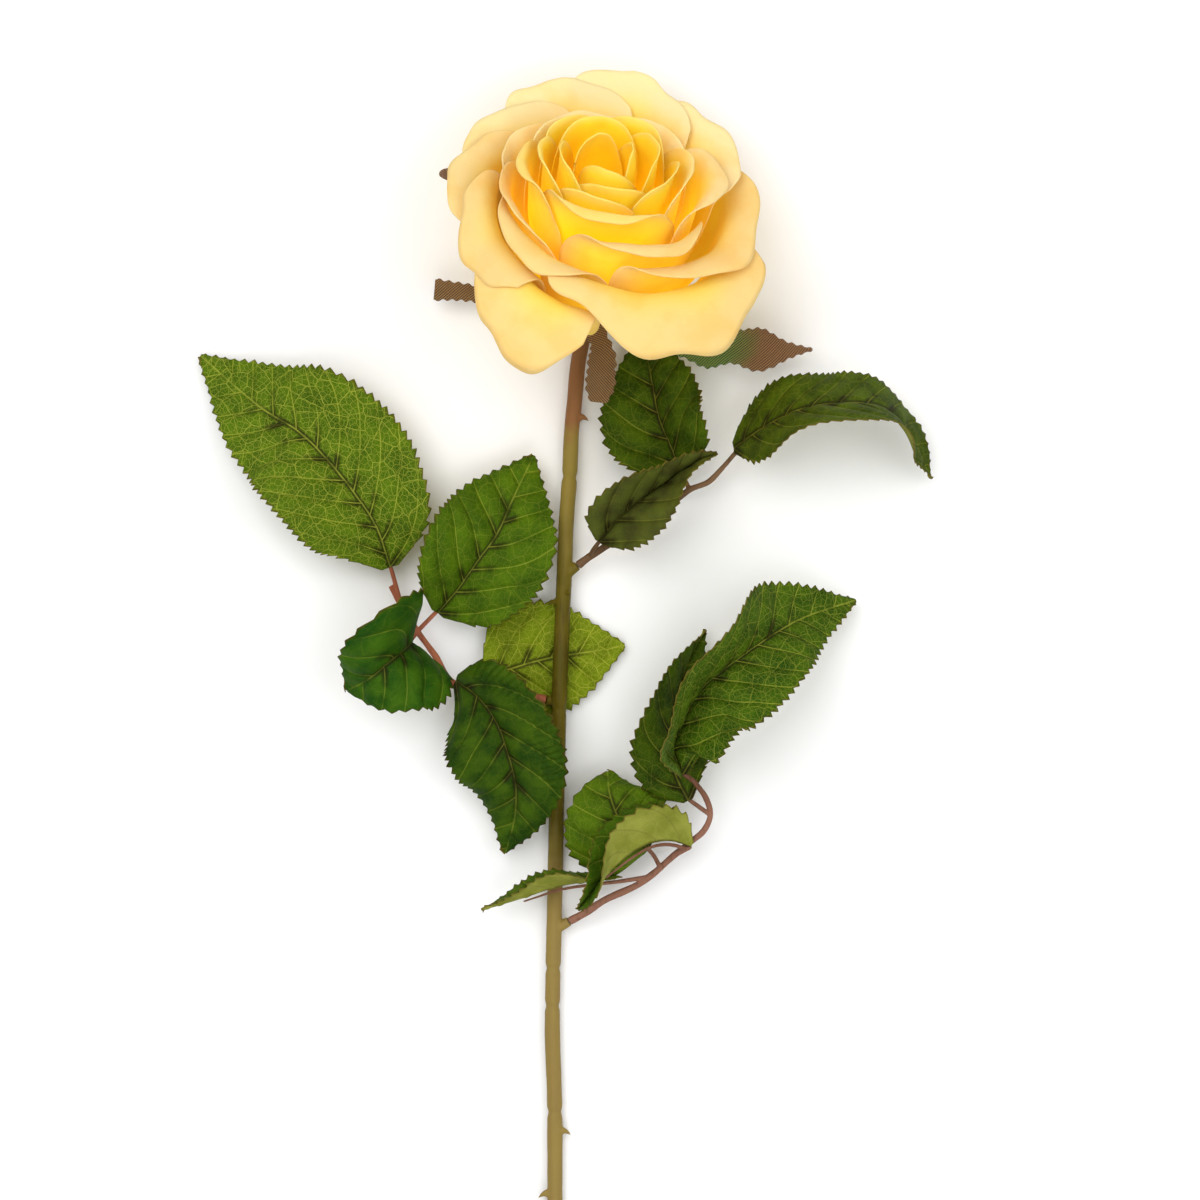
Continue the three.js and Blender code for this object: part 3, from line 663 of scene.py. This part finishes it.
def leaf_veins(m, across, along):
    """Distance in mm to the nearest lateral vein, as the meshes press it in."""
    x = m.math("ABSOLUTE", across)
    bend = m.math("MULTIPLY", m.math("MULTIPLY", x, x), VEIN_BEND)
    slant = m.math("ADD", m.math("MULTIPLY", x, VEIN_SLANT), bend)
    side = m.math("MULTIPLY", m.math("GREATER_THAN", across, 0.0), 0.5 * VEIN_PITCH)
    q = m.math("DIVIDE", m.math("ADD", m.math("SUBTRACT", along, slant), side), VEIN_PITCH)
    from_middle = m.math("ABSOLUTE", m.math("SUBTRACT", m.math("FRACT", q), 0.5))
    return m.math("MULTIPLY", from_middle, VEIN_PITCH * 0.8)


def leaf_material(under):
    """Printed fabric: a net of pale veins on top, with painted light and shade in random patches and dark
    brown in the pressed grooves near the midrib that is partly printed tint and partly painted shade; a pale
    plain underside.
    """
    name, roughness = ("leaf_under", 0.72) if under else ("leaf_print", 0.6)
    m = Material(name, Roughness=roughness, Specular_IOR_Level=0.06)
    uv, across, along = m.surface_mm()
    drift = m.node("TexNoise", {"Vector": uv, "Scale": 26.0}).outputs[1]
    drift = m.scaled(drift, (0.016,) * 3)
    warped = m.node("VectorMath", {0: uv, 1: drift}, operation="ADD").outputs[0]

    def net(scale, width, strength):
        inputs = {"Vector": warped, "Scale": scale}
        cells = m.node("TexVoronoi", inputs, feature="DISTANCE_TO_EDGE", voronoi_dimensions="2D")
        return m.band(cells.outputs["Distance"], width * 0.3, width, strength, 0.0)

    coarse = m.math("MAXIMUM", net(19, 0.03, 1.0), net(56, 0.07, 0.7))
    lines = m.math("MAXIMUM", coarse, net(150, 0.12, 0.4))
    tone = m.attribute("tone", "Fac")
    margin = m.attribute("margin", "Fac")
    patches = m.noise(uv, 14.0, 4.0)
    lateral = leaf_veins(m, across, along)
    rib = m.math("ABSOLUTE", across)
    lateral_line = m.band(lateral, 0.1, 0.3, 1.0, 0.0)
    rib_line = m.band(rib, 0.12, 0.4, 1.0, 0.0)
    veins = m.math("MAXIMUM", lateral_line, rib_line)
    if under:
        ground = m.mix(m.band(patches, 0.35, 0.65), rgba(118, 124, 40), rgba(142, 146, 60))
        colour = m.mix(m.math("MULTIPLY", veins, 0.5), ground, rgba(110, 108, 44))
        colour = m.mix(m.math("MULTIPLY", lines, 0.2), colour, rgba(168, 170, 90))
    else:
        leaf = m.attribute("ground")
        # painted light and shade: lit and shaded copies of the ground, mixed in random patches
        shaded = m.mix(0.3, leaf, rgba(8, 20, 0))
        lit = m.mix(0.1, leaf, rgba(150, 180, 16))
        ground = m.mix(m.band(patches, 0.3, 0.7), shaded, lit)
        pale = m.mix(0.42, leaf, rgba(214, 214, 84))
        colour = m.mix(m.math("MULTIPLY", lines, tone), ground, pale)
        near_rib = m.band(m.math("ADD", rib, m.math("MULTIPLY", patches, 12.0)), 7.0, 14.0, 1.0, 0.0)
        groove_tint_and_shade = m.math("MULTIPLY", m.band(lateral, 0.4, 1.7, 1.0, 0.0), near_rib)
        rib_tint_and_shade = m.math("MULTIPLY", m.band(rib, 0.5, 1.6, 0.9, 0.0), near_rib)
        groove_tint_and_shade = m.math("MAXIMUM", groove_tint_and_shade, rib_tint_and_shade)
        groove_tint_and_shade = m.math("MULTIPLY", groove_tint_and_shade, m.attribute("shade", "Fac"))
        # dark brown in the grooves near the midrib: partly the print's burgundy tint, partly painted shade
        colour = m.mix(m.math("MULTIPLY", groove_tint_and_shade, 0.85), colour, rgba(30, 22, 6))
        thin = m.math("MULTIPLY", veins, m.band(patches, 0.3, 0.6, 0.1, 0.75))
        colour = m.mix(m.math("MULTIPLY", thin, m.band(tone, 0.0, 0.6, 0.35, 1.0)), colour, pale)
    colour = m.mix(m.math("MULTIPLY", margin, 0.6), colour, rgba(84, 54, 20))
    m.feed(m.shader.inputs["Base Color"], colour)
    pressed = m.math("ADD", m.math("MULTIPLY", lines, 0.35), m.band(lateral, 0.0, 1.6, -1.0, 0.0))
    pressed = m.bump(pressed, 0.3, 0.7)
    weave = weave_height(m, across, along, LEAF_WEAVE)
    m.feed(m.shader.inputs["Normal"], m.bump(weave, 0.03, 0.5, pressed))
    return m.data


def plastic_material(name, low, high, spots):
    """Moulded plastic whose colour drifts between low and high, with darker flecks."""
    m = Material(name, Roughness=0.5, Specular_IOR_Level=0.14)
    place = m.object_mm()
    stretched = m.scaled(place, (1.0, 0.12, 1.0))
    drift = m.noise(place, 0.035, 2.0)
    streak = m.noise(stretched, 0.9, 4.0, 0.6)
    colour = m.mix(m.band(drift, 0.35, 0.65), low, high)
    colour = m.mix(m.band(streak, 0.5, 0.72, 0.0, 0.55), colour, spots)
    return m, place, stretched, colour


def stem_material():
    """Olive where the leaves are, straw-coloured towards the cut end and red-brown below the flower."""
    m, place, stretched, colour = plastic_material(
        "stem_moulding", rgba(78, 70, 4), rgba(104, 90, 14), rgba(64, 46, 10))
    y = m.node("SeparateXYZ", {0: place}).outputs[1]
    y = m.math("ADD", y, m.math("MULTIPLY", m.noise(place, 0.12), 26.0))
    straw = m.mix(m.noise(stretched, 0.5), rgba(146, 126, 60), rgba(132, 108, 62))
    colour = m.mix(m.band(y, 236 + SHIFT[1], 276 + SHIFT[1], 1.0, 0.0), colour, straw)
    colour = m.mix(m.band(y, 340 + SHIFT[1], 374 + SHIFT[1], 0.0, 0.85), colour, rgba(142, 124, 56))
    colour = m.mix(m.band(y, 388 + SHIFT[1], 404 + SHIFT[1], 0.0, 0.9), colour, rgba(134, 88, 54))
    m.feed(m.shader.inputs["Base Color"], colour)
    m.feed(m.shader.inputs["Normal"], m.bump(m.noise(stretched, 1.6, 5.0, 0.6), 0.14, 0.5))
    return m.data


STALK_COLOURS = {
    "left_stalk": ((142, 76, 52), (168, 102, 72)),
    "upper_stalk": ((84, 62, 40), (124, 94, 66)),
    "lower_stalk": ((104, 68, 50), (140, 98, 78)),
}


def stalk_material(name):
    low, high = STALK_COLOURS[name]
    m, place, _, colour = plastic_material(
        f"{name}_moulding", rgba(*low), rgba(*high), rgba(70, 44, 24))
    m.feed(m.shader.inputs["Base Color"], colour)
    m.feed(m.shader.inputs["Normal"], m.bump(m.noise(place, 1.4, 4.0), 0.08, 0.5))
    return m.data


def calyx_material():
    m, place, _, colour = plastic_material(
        "calyx_moulding", rgba(44, 76, 18), rgba(60, 92, 26), rgba(34, 56, 14))
    m.feed(m.shader.inputs["Base Color"], colour)
    m.feed(m.shader.inputs["Normal"], m.bump(m.noise(place, 1.2, 4.0), 0.1, 0.5))
    return m.data


def sepal_material():
    """Coarse twill, green where it leaves the calyx and brown beyond."""
    m = Material("sepal_twill", Roughness=0.75, Sheen_Weight=0.15)
    uv, across, along = m.surface_mm()
    rising, falling = m.math("ADD", across, along), m.math("SUBTRACT", across, along)
    threads = m.math("SINE", m.math("MULTIPLY", rising, 2 * math.pi / SEPAL_WEAVE))
    steps = m.math("SINE", m.math("MULTIPLY", falling, 2 * math.pi / (SEPAL_WEAVE * 0.8)))
    weave = m.math("ADD", threads, m.math("MULTIPLY", steps, 0.6))
    brown = m.mix(m.band(weave, -0.6, 0.9), rgba(74, 42, 16), rgba(166, 120, 72))
    green = m.mix(m.band(weave, -0.6, 0.9), rgba(20, 50, 10), rgba(126, 150, 60))
    uneven = m.math("MULTIPLY", m.noise(uv, 12.0), 12.0)
    share = m.band(m.math("ADD", along, uneven), 44.0, 58.0, 0.0, 1.0)
    colour = m.mix(m.math("MAXIMUM", share, m.attribute("tone", "Fac")), green, brown)
    m.feed(m.shader.inputs["Base Color"], colour)
    m.feed(m.shader.inputs["Normal"], m.bump(weave, 0.12, 0.8))
    return m.data


# -------- pieces


def place(obj, node, slot, *materials):
    """Give a piece its materials and let it stand for its CAD node."""
    for material in materials:
        obj.data.materials.append(material)
    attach(obj, "root")
    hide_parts(node)


FAR_PALE = srgb(252, 228, 166)
FIRST_CREAM_RING = 3  # rings from here outwards have a cream rim
# for each ring from the bud outwards: width of the pale rim and of its fade in mm,
# then the colours of the rim, the body and the depth of the petal
PETAL_LOOK = [
  (1.2, 6, (252, 220, 96), (255, 222, 56), (255, 214, 30)),
  (1.6, 8, (252, 220, 100), (255, 222, 50), (255, 214, 30)),
  (2.5, 10, (252, 220, 110), (255, 222, 50), (255, 214, 12)),
  (6, 12, (247, 210, 114), (252, 216, 74), (255, 218, 10)),
  (10, 14, (243, 205, 132), (252, 216, 74), (255, 220, 10)),
  (12, 16, (243, 205, 132), (252, 216, 74), (252, 218, 20)),
]
# painted glow that the petals emit, growing away from the rim into their shaded depths, inside and outside a
# petal
GLOW = (0.42, 0.36)
OUTER_RING_GLOW = (0.42, 0.05)
TUCKED_PETAL = (5, 8)
TUCK = 8  # degrees that this petal turns and widens by, to pass under its neighbour
RING_NOISE = np.random.default_rng(7)


def petal_tint(ring, from_rim, back, far):
    """Colour of a petal at a distance in mm from its rim, for a ring from 0, the bud, to 5.

    far is 1 for a petal at the back of the head, where the outer rims are palest.
    """
    pale_width, fade_width, *colours = PETAL_LOOK[ring]
    if back and ring > FIRST_CREAM_RING:
        pale_width *= 1.2
    rim, body, deep = (np.array(srgb(*colour)) for colour in colours)
    if ring >= FIRST_CREAM_RING:
        rim = rim + (np.array(FAR_PALE) - rim) * far
    first = smooth(from_rim, 0.25 * pale_width, pale_width + 0.5 * fade_width)[..., None]
    second = smooth(from_rim, pale_width + 0.3 * fade_width, pale_width + 1.8 * fade_width)[..., None]
    return (rim * (1 - first) + body * first) * (1 - second) + deep * second


def build_petals(material):
    for ring, group in enumerate(RINGS):
        waves = [(k, RING_NOISE.uniform(0, 2 * np.pi), RING_NOISE.uniform(0.4, 1.0)) for k in (3, 5, 8)]
        for number, petal in enumerate(group["petals"]):
            phase = RING_NOISE.uniform(0, 2 * np.pi, 3)

            def ruffle(phi, w, u, waves=waves, phase=phase, ring=ring):
                shared = sum(a * np.sin(k * phi + p) for k, p, a in waves) * 0.006
                own = 0.009 * np.sin(1.9 * np.pi * u + phase[0]) + 0.003 * np.sin(4.3 * np.pi * u + phase[1])
                return (shared + own * (1 - u**4)) * smooth(w, 0.45, 1) * (0.35 + 0.65 * ring / 5)

            across, along = (56, 44) if ring else (72, 44)
            u, w = np.meshgrid(np.linspace(-1, 1, across + 1), np.linspace(0, 1, along + 1))
            if (ring, number) == TUCKED_PETAL:
                petal = [petal[0] - TUCK, petal[1] + TUCK, *petal[2:]]
            p = petal_point(group, petal, u, w, ruffle)
            thickness = PETAL_THICKNESS * (1 + 0.25 * smooth(w, 0.9, 1))
            verts, faces, _ = solid_grid(p, thickness)
            step_u = np.linalg.norm(np.gradient(p, axis=1), axis=-1).mean()
            step_w = np.linalg.norm(np.gradient(p, axis=0), axis=-1).mean()
            uv = np.stack([(u + 1) * across / 2 * step_u, w * along * step_w], -1).reshape(-1, 2)
            row_steps = np.linalg.norm(np.gradient(p, axis=0), axis=-1).mean(0)[None]
            from_top = (1 - w) * along * row_steps
            from_side = 3 + (1 - np.abs(u)) * across / 2 * step_u + 14 * (1 - w)
            edge = np.minimum(from_top, from_side)
            far = max(math.sin(math.radians(petal[0])), 0.0) ** 0.7
            tint = [petal_tint(ring, edge, back, far).reshape(-1, 3) for back in (False, True)]
            # painted glow: emitted light that grows away from the rim, where the petals lie in shade
            depth = smooth(edge, 4, 30)
            inner, outer = OUTER_RING_GLOW if ring == len(RINGS) - 1 else GLOW
            glow = np.concatenate([(depth * inner).ravel(), (depth * outer).ravel()])
            obj = make_object(
                f"fabric_petal_{ring + 1}_{number + 1}", verts, faces, uv=np.vstack([uv, uv]),
                colours={"tint": np.vstack(tint)}, floats={"glow": glow})
            slot = "petal_fabric_inner" if ring < 3 else "petal_fabric_outer"
            place(obj, f"petal_{ring + 1}_{number + 1}", slot, material)


# the ground colour, printed except for the painted sheen noted below, and how strongly the vein net shows
LEAF_LOOK = {
  "left_leaf_1": ((58, 92, 1), 0.85),
  "left_leaf_2": ((54, 88, 1), 0.25),
  "left_leaf_3": ((26, 76, 8), 0.08),
  "left_leaf_4": ((27, 62, 4), 0.08),
  "left_leaf_5": ((110, 130, 10), 0.85),
  "upper_leaf_1": ((50, 70, 1), 0.25),
  # greyish ground: a painted sheen over the green
  "upper_leaf_2": ((72, 74, 32), 0.06),
  "upper_leaf_3": ((40, 66, 1), 0.2),
  "lower_leaf_1": ((34, 72, 1), 0.5),
  "lower_leaf_2": ((36, 62, 1), 0.2),
  "lower_leaf_3": ((64, 96, 4), 0.25),
  "lower_leaf_4": ((46, 82, 6), 0.2),
  "lower_leaf_5": ((68, 96, 16), 0.2),
}


def build_leaf(name, leaf, top, under):
    """A leaflet with a toothed edge, its veins pressed in and a gently waved margin."""
    length = leaf["curve"].length
    teeth = round(length / TOOTH_PITCH)
    rows, half = ROWS_PER_TOOTH * teeth, 20
    t = np.linspace(0, 1, rows + 1)
    spread = np.linspace(0, 1, half + 1) ** 0.85
    u, t = np.meshgrid(np.concatenate([-spread[:0:-1], spread]), t)
    base = leaf["width"] * through(LEAF_OUTLINE, t)
    along = t * length
    rng = np.random.default_rng(sum(map(ord, name)))
    saw = t * teeth + np.where(u < 0, 0.375, 0.0)
    size = rng.uniform(0.7, 1.15, teeth + 2)[saw.astype(int)]
    saw = saw % 1
    tooth = np.where(saw <= TOOTH_RISE, saw / TOOTH_RISE, (1 - saw) / (1 - TOOTH_RISE)) * size
    blunt = smooth(t, 0.02, 0.1)
    outer = smooth(np.abs(u), 0.9, 1)
    reach = base + (tooth - 0.55) * TOOTH_DEPTH * blunt * outer
    x = np.abs(u) * base
    slant = VEIN_SLANT * x + VEIN_BEND * x**2
    q = (along - slant + np.where(u > 0, 0.5 * VEIN_PITCH, 0)) / VEIN_PITCH
    lateral = np.abs(q % 1 - 0.5) * VEIN_PITCH * 0.8
    fade = smooth(1 - np.abs(u), 0.0, 0.25)
    grooves = -0.35 * np.exp(-((lateral / 0.7) ** 2)) * fade - 0.3 * np.exp(-((x / 0.8) ** 2))
    lift = grooves + 0.2 + 0.5 * smooth(lateral, 0, 3.4) * fade * smooth(x, 0.5, 3)
    if name == "left_leaf_4":  # a pleated strip along its left side
        strip = smooth(-u, 0.4, 0.6) * smooth(t, 0.05, 0.15) * smooth(1 - t, 0.3, 0.45)
        lift += 0.32 * np.sin(2 * np.pi * along / 1.7) * strip
    phase = rng.uniform(0, 6)
    lift += 0.9 * np.abs(u) ** 3 * np.sin(along * 0.21 + phase + np.where(u < 0, 2.0, 0)) * blunt
    lift *= smooth(t, 0, 0.06)
    p = leaf_point(leaf, u, t, reach, lift)
    verts, faces, ids = solid_grid(p, LEAF_THICKNESS)
    uv = np.stack([u * base, along], -1).reshape(-1, 2)
    edge_mm = (1 - np.abs(u)) * base
    margin = (1 - smooth(edge_mm, 0.05, 0.6)).ravel()
    shade = (1 - smooth(t, 0.62, 0.85)).ravel()
    colour, net = LEAF_LOOK[name]
    floats = {
        "tone": np.full(len(verts), net),
        "margin": np.concatenate([margin, margin]),
        "shade": np.concatenate([shade, shade]),
    }
    obj = make_object(
        f"printed_{name}", verts, faces, uv=np.vstack([uv, uv]),
        colours={"ground": np.tile(srgb(*colour), (len(verts), 1))},
        material_ids=ids.clip(0, 1).tolist(), floats=floats)
    place(obj, name, "leaf_fabric", top, under)


def rib_path(leaf, start):
    """The path of the rib that runs on from the stalk, under the leaflet's fold."""
    curve = leaf["curve"]
    drop = CAD_LEAF_THICKNESS / 2 + CLEARANCE + RIB_RADIUS * 1.1
    t = np.array([0.03, 0.12, 0.24, 0.36, 0.48, 0.6, 0.7])
    centre, side, face = leaf_frame(curve, t)
    angle = np.radians((through(leaf["right"], t) - through(leaf["left"], t)) / 2 - 90)[:, None]
    points = centre + side * drop * np.cos(angle) + face * drop * np.sin(angle)
    return Curve(list(start) + points.tolist())


def build_stalk(name, spray, material):
    knobs = RING_NOISE.uniform(0, 1, 3)

    def main_radius(t, angle):
        swell = 0.12 * np.exp(-((t - 0.02) / 0.03) ** 2) + 0.05 * np.sin(40 * t + 6 * knobs[0])
        return STALK_RADIUS * (1 - 0.3 * t) * (1 + swell + 0.04 * np.cos(3 * angle))

    parts = [tube(Curve(spray["stalk"]), main_radius, 160, 20)]
    for leaf, start in spray["leaflets"].items():
        path = rib_path(LEAVES[leaf], start)
        parts.append(tube(path, lambda t, angle: RIB_RADIUS * (1.25 - 0.75 * t) + 0 * angle, 120, 14))
    place(remeshed(f"moulded_{name}", parts, STALK_VOXEL), name, "stalk_plastic", material)


def build_stem(material):
    top = in_head(0, 0, -CALYX_LENGTH) - AXIS * CLEARANCE
    path = Curve(STEM_PATH + [(top - 4 * AXIS).tolist(), top.tolist()])

    def radius(t, angle):
        s = t * path.length
        notch = min(sum(math.exp(-(((s - at) / 1.1) ** 2)) for at in NOTCHES), 1)
        lumps = 0.05 * math.sin(s * 0.21) + 0.04 * math.sin(s * 0.57 + 1)
        seam = 0.07 * np.exp(-((np.sin(angle / 2) / 0.08) ** 2))
        return STEM_RADIUS - NOTCH_DEPTH * notch + lumps * 0.6 + seam

    parts = [tube(path, radius, 900, 28)]
    for at, turn, size in THORNS:
        angle = math.radians(turn)
        out = np.array([math.cos(angle), 0.0, math.sin(angle)])
        root = path.at(np.array(at / path.length))
        inside = root + out * STEM_RADIUS * 0.5
        bend = root + out * (STEM_RADIUS + 0.35 * size)
        tip = root + out * (STEM_RADIUS + size * 1.05) + np.array([0, -0.45 * size, 0])

        def thorn_radius(t, angle, size=size):
            return size * (0.62 * (1 - t) ** 1.2 + 0.07) + 0 * angle

        parts.append(tube(Curve([inside, bend, tip]), thorn_radius, 16, 12))
    for spray in SPRAYS.values():
        end, after = np.array(spray["stalk"][0], float), np.array(spray["stalk"][1], float)
        out = unit(after - end)
        end = end - out * CLEARANCE
        line = Curve([end - out * (STEM_RADIUS + 1.2), end])
        parts.append(tube(line, lambda t, angle: SOCKET_RADIUS * (1 - 0.15 * t) + 0 * angle, 12, 20))
    place(remeshed("moulded_stem", parts, STEM_VOXEL, 2), "stem", "stem_plastic", material)


def build_calyx(material):
    outline = Curve([(r, h, 0) for r, h in (
        (0, -CALYX_LENGTH), (3.1, -CALYX_LENGTH), (3.6, -11), (5.6, -8), (CALYX_RADIUS, -5),
        (CALYX_RADIUS, -2.5), (7.6, -0.6), (CALYX_RIM, 0.8), (6.2, 3.6), (4.2, 6.7), (2.2, 9.7),
        (0.8, 11.8), (0, 12.4))])
    t, phi = np.meshgrid(np.linspace(0, 1, 61), np.linspace(0, 2 * np.pi, 72, endpoint=False), indexing="ij")
    p = outline.at(t)
    r = np.maximum(p[..., 0] * (1 + 0.02 * np.cos(10 * phi)), 0.02)
    ring = in_head(r * np.cos(phi), r * np.sin(phi), p[..., 1])
    rows, cols = r.shape
    verts = ring.reshape(-1, 3)
    grid = np.arange(rows * cols).reshape(rows, cols)
    right = np.roll(grid, -1, axis=1)
    faces = np.stack([grid[:-1], right[:-1], right[1:], grid[1:]], -1).reshape(-1, 4).tolist()
    faces += [grid[0, ::-1].tolist(), grid[-1].tolist()]
    place(make_object("moulded_calyx", verts, faces), "calyx", "calyx_plastic", material)


def build_sepals(material):
    def root(azimuth):
        a = math.radians(azimuth)
        return in_head((CALYX_RIM + 1.1) * math.cos(a), (CALYX_RIM + 1.1) * math.sin(a), -1).tolist()

    for name, (azimuth, points, width, lobes) in SEPALS.items():
        path = [root(azimuth)] + [(HEAD_BASE + p).tolist() for p in points]
        leaf = {"curve": Curve(path), "left": [0, 0], "right": [0, 0], "curl": -20}
        u, t = np.meshgrid(np.linspace(-1, 1, 25), np.linspace(0, 1, 121))
        length = leaf["curve"].length
        reach = width * through(lobes, t) + 0.35 * np.sin(t * length * 2.1) * smooth(np.abs(u), 0.8, 1)
        lift = 0.5 * np.sin(t * length * 0.25) * np.abs(u)
        verts, faces, _ = solid_grid(leaf_point(leaf, u, t, reach, lift), SEPAL_THICKNESS)
        uv = np.stack([u * reach, t * length], -1).reshape(-1, 2)
        browned = np.full(len(verts), 0.0 if name == "sepal_1" else 0.9)
        obj = make_object(
            f"twill_{name}", verts, faces, uv=np.vstack([uv, uv]), floats={"tone": browned})
        place(obj, name, "sepal_fabric", material)
    for name, shape in BACK_SEPALS.items():
        u, w = np.meshgrid(np.linspace(-1, 1, 17), np.linspace(BACK_SEPAL_FROM, 1, 81))
        p = petal_point({"shell": BACK_SEPAL_SHELL, "layer": 0, "round": 0.22}, shape, u, w)
        verts, faces, _ = solid_grid(p, SEPAL_THICKNESS)
        length = np.linalg.norm(np.diff(p[:, 8], axis=0), axis=1).sum()
        uv = np.stack([u * 7, (w - BACK_SEPAL_FROM) / (1 - BACK_SEPAL_FROM) * length], -1).reshape(-1, 2)
        obj = make_object(
            f"twill_{name}", verts, faces, uv=np.vstack([uv, uv]), floats={"tone": np.ones(len(verts))})
        place(obj, name, "sepal_fabric", material)


build_petals(petal_material())
leaf_top, leaf_under = leaf_material(False), leaf_material(True)
for name, leaf in LEAVES.items():
    build_leaf(name, leaf, leaf_top, leaf_under)
for name, spray in SPRAYS.items():
    build_stalk(name, spray, stalk_material(name))
build_stem(stem_material())
build_calyx(calyx_material())
build_sepals(sepal_material())

# -------- floor, light and camera

VIEW_CENTRE = np.array([12.6, 327.5, 0.0])
VIEW_WIDTH = 384.0
SENSOR = 36.0
CAMERA_HEIGHT = 1280.0
FLOOR_HALF = 3.0
# name, place from the middle of the view in m, width in m, power in W
LIGHTS = [
  ("key", (-0.5, 0.5, 1.5), 1.2, 15.0),
  ("fill", (0.9, 0.1, 1.3), 1.3, 8.0),
  ("front", (0.0, -0.9, 1.3), 1.2, 7.0),
]


def build_stage():
    centre = (VIEW_CENTRE + SHIFT) * 0.001
    mesh = bpy.data.meshes.new("floor")
    corners = [(x * FLOOR_HALF, y * FLOOR_HALF, -0.0003) for x, y in ((-1, -1), (1, -1), (1, 1), (-1, 1))]
    mesh.from_pydata(corners, [], [(0, 1, 2, 3)])
    floor = bpy.data.objects.new("floor", mesh)
    bpy.context.scene.collection.objects.link(floor)
    m = Material("floor_paper", Roughness=0.9, Base_Color=(0.93, 0.93, 0.93, 1))
    floor.data.materials.append(m.data)

    camera_data = bpy.data.cameras.new("camera")
    camera_data.sensor_width = SENSOR
    camera_data.lens = SENSOR * CAMERA_HEIGHT / VIEW_WIDTH
    camera_data.clip_start, camera_data.clip_end = 0.05, 10
    camera = bpy.data.objects.new("camera", camera_data)
    camera.location = (centre[0], centre[1], CAMERA_HEIGHT * 0.001)
    bpy.context.scene.collection.objects.link(camera)
    bpy.context.scene.camera = camera

    target = Vector((centre[0], centre[1], 0.02))
    for name, spot, size, power in LIGHTS:
        data = bpy.data.lights.new(name, "AREA")
        data.energy, data.size = power, size
        light = bpy.data.objects.new(name, data)
        light.location = target + Vector(spot)
        light.rotation_euler = (target - light.location).to_track_quat("-Z", "Y").to_euler()
        bpy.context.scene.collection.objects.link(light)

    world = bpy.data.worlds.new("studio")
    world.use_nodes = True
    background = world.node_tree.nodes["Background"]
    background.inputs["Color"].default_value = (1, 1, 1, 1)
    background.inputs["Strength"].default_value = 0.45
    bpy.context.scene.world = world
    bpy.context.scene.view_settings.view_transform = "Standard"


build_stage()
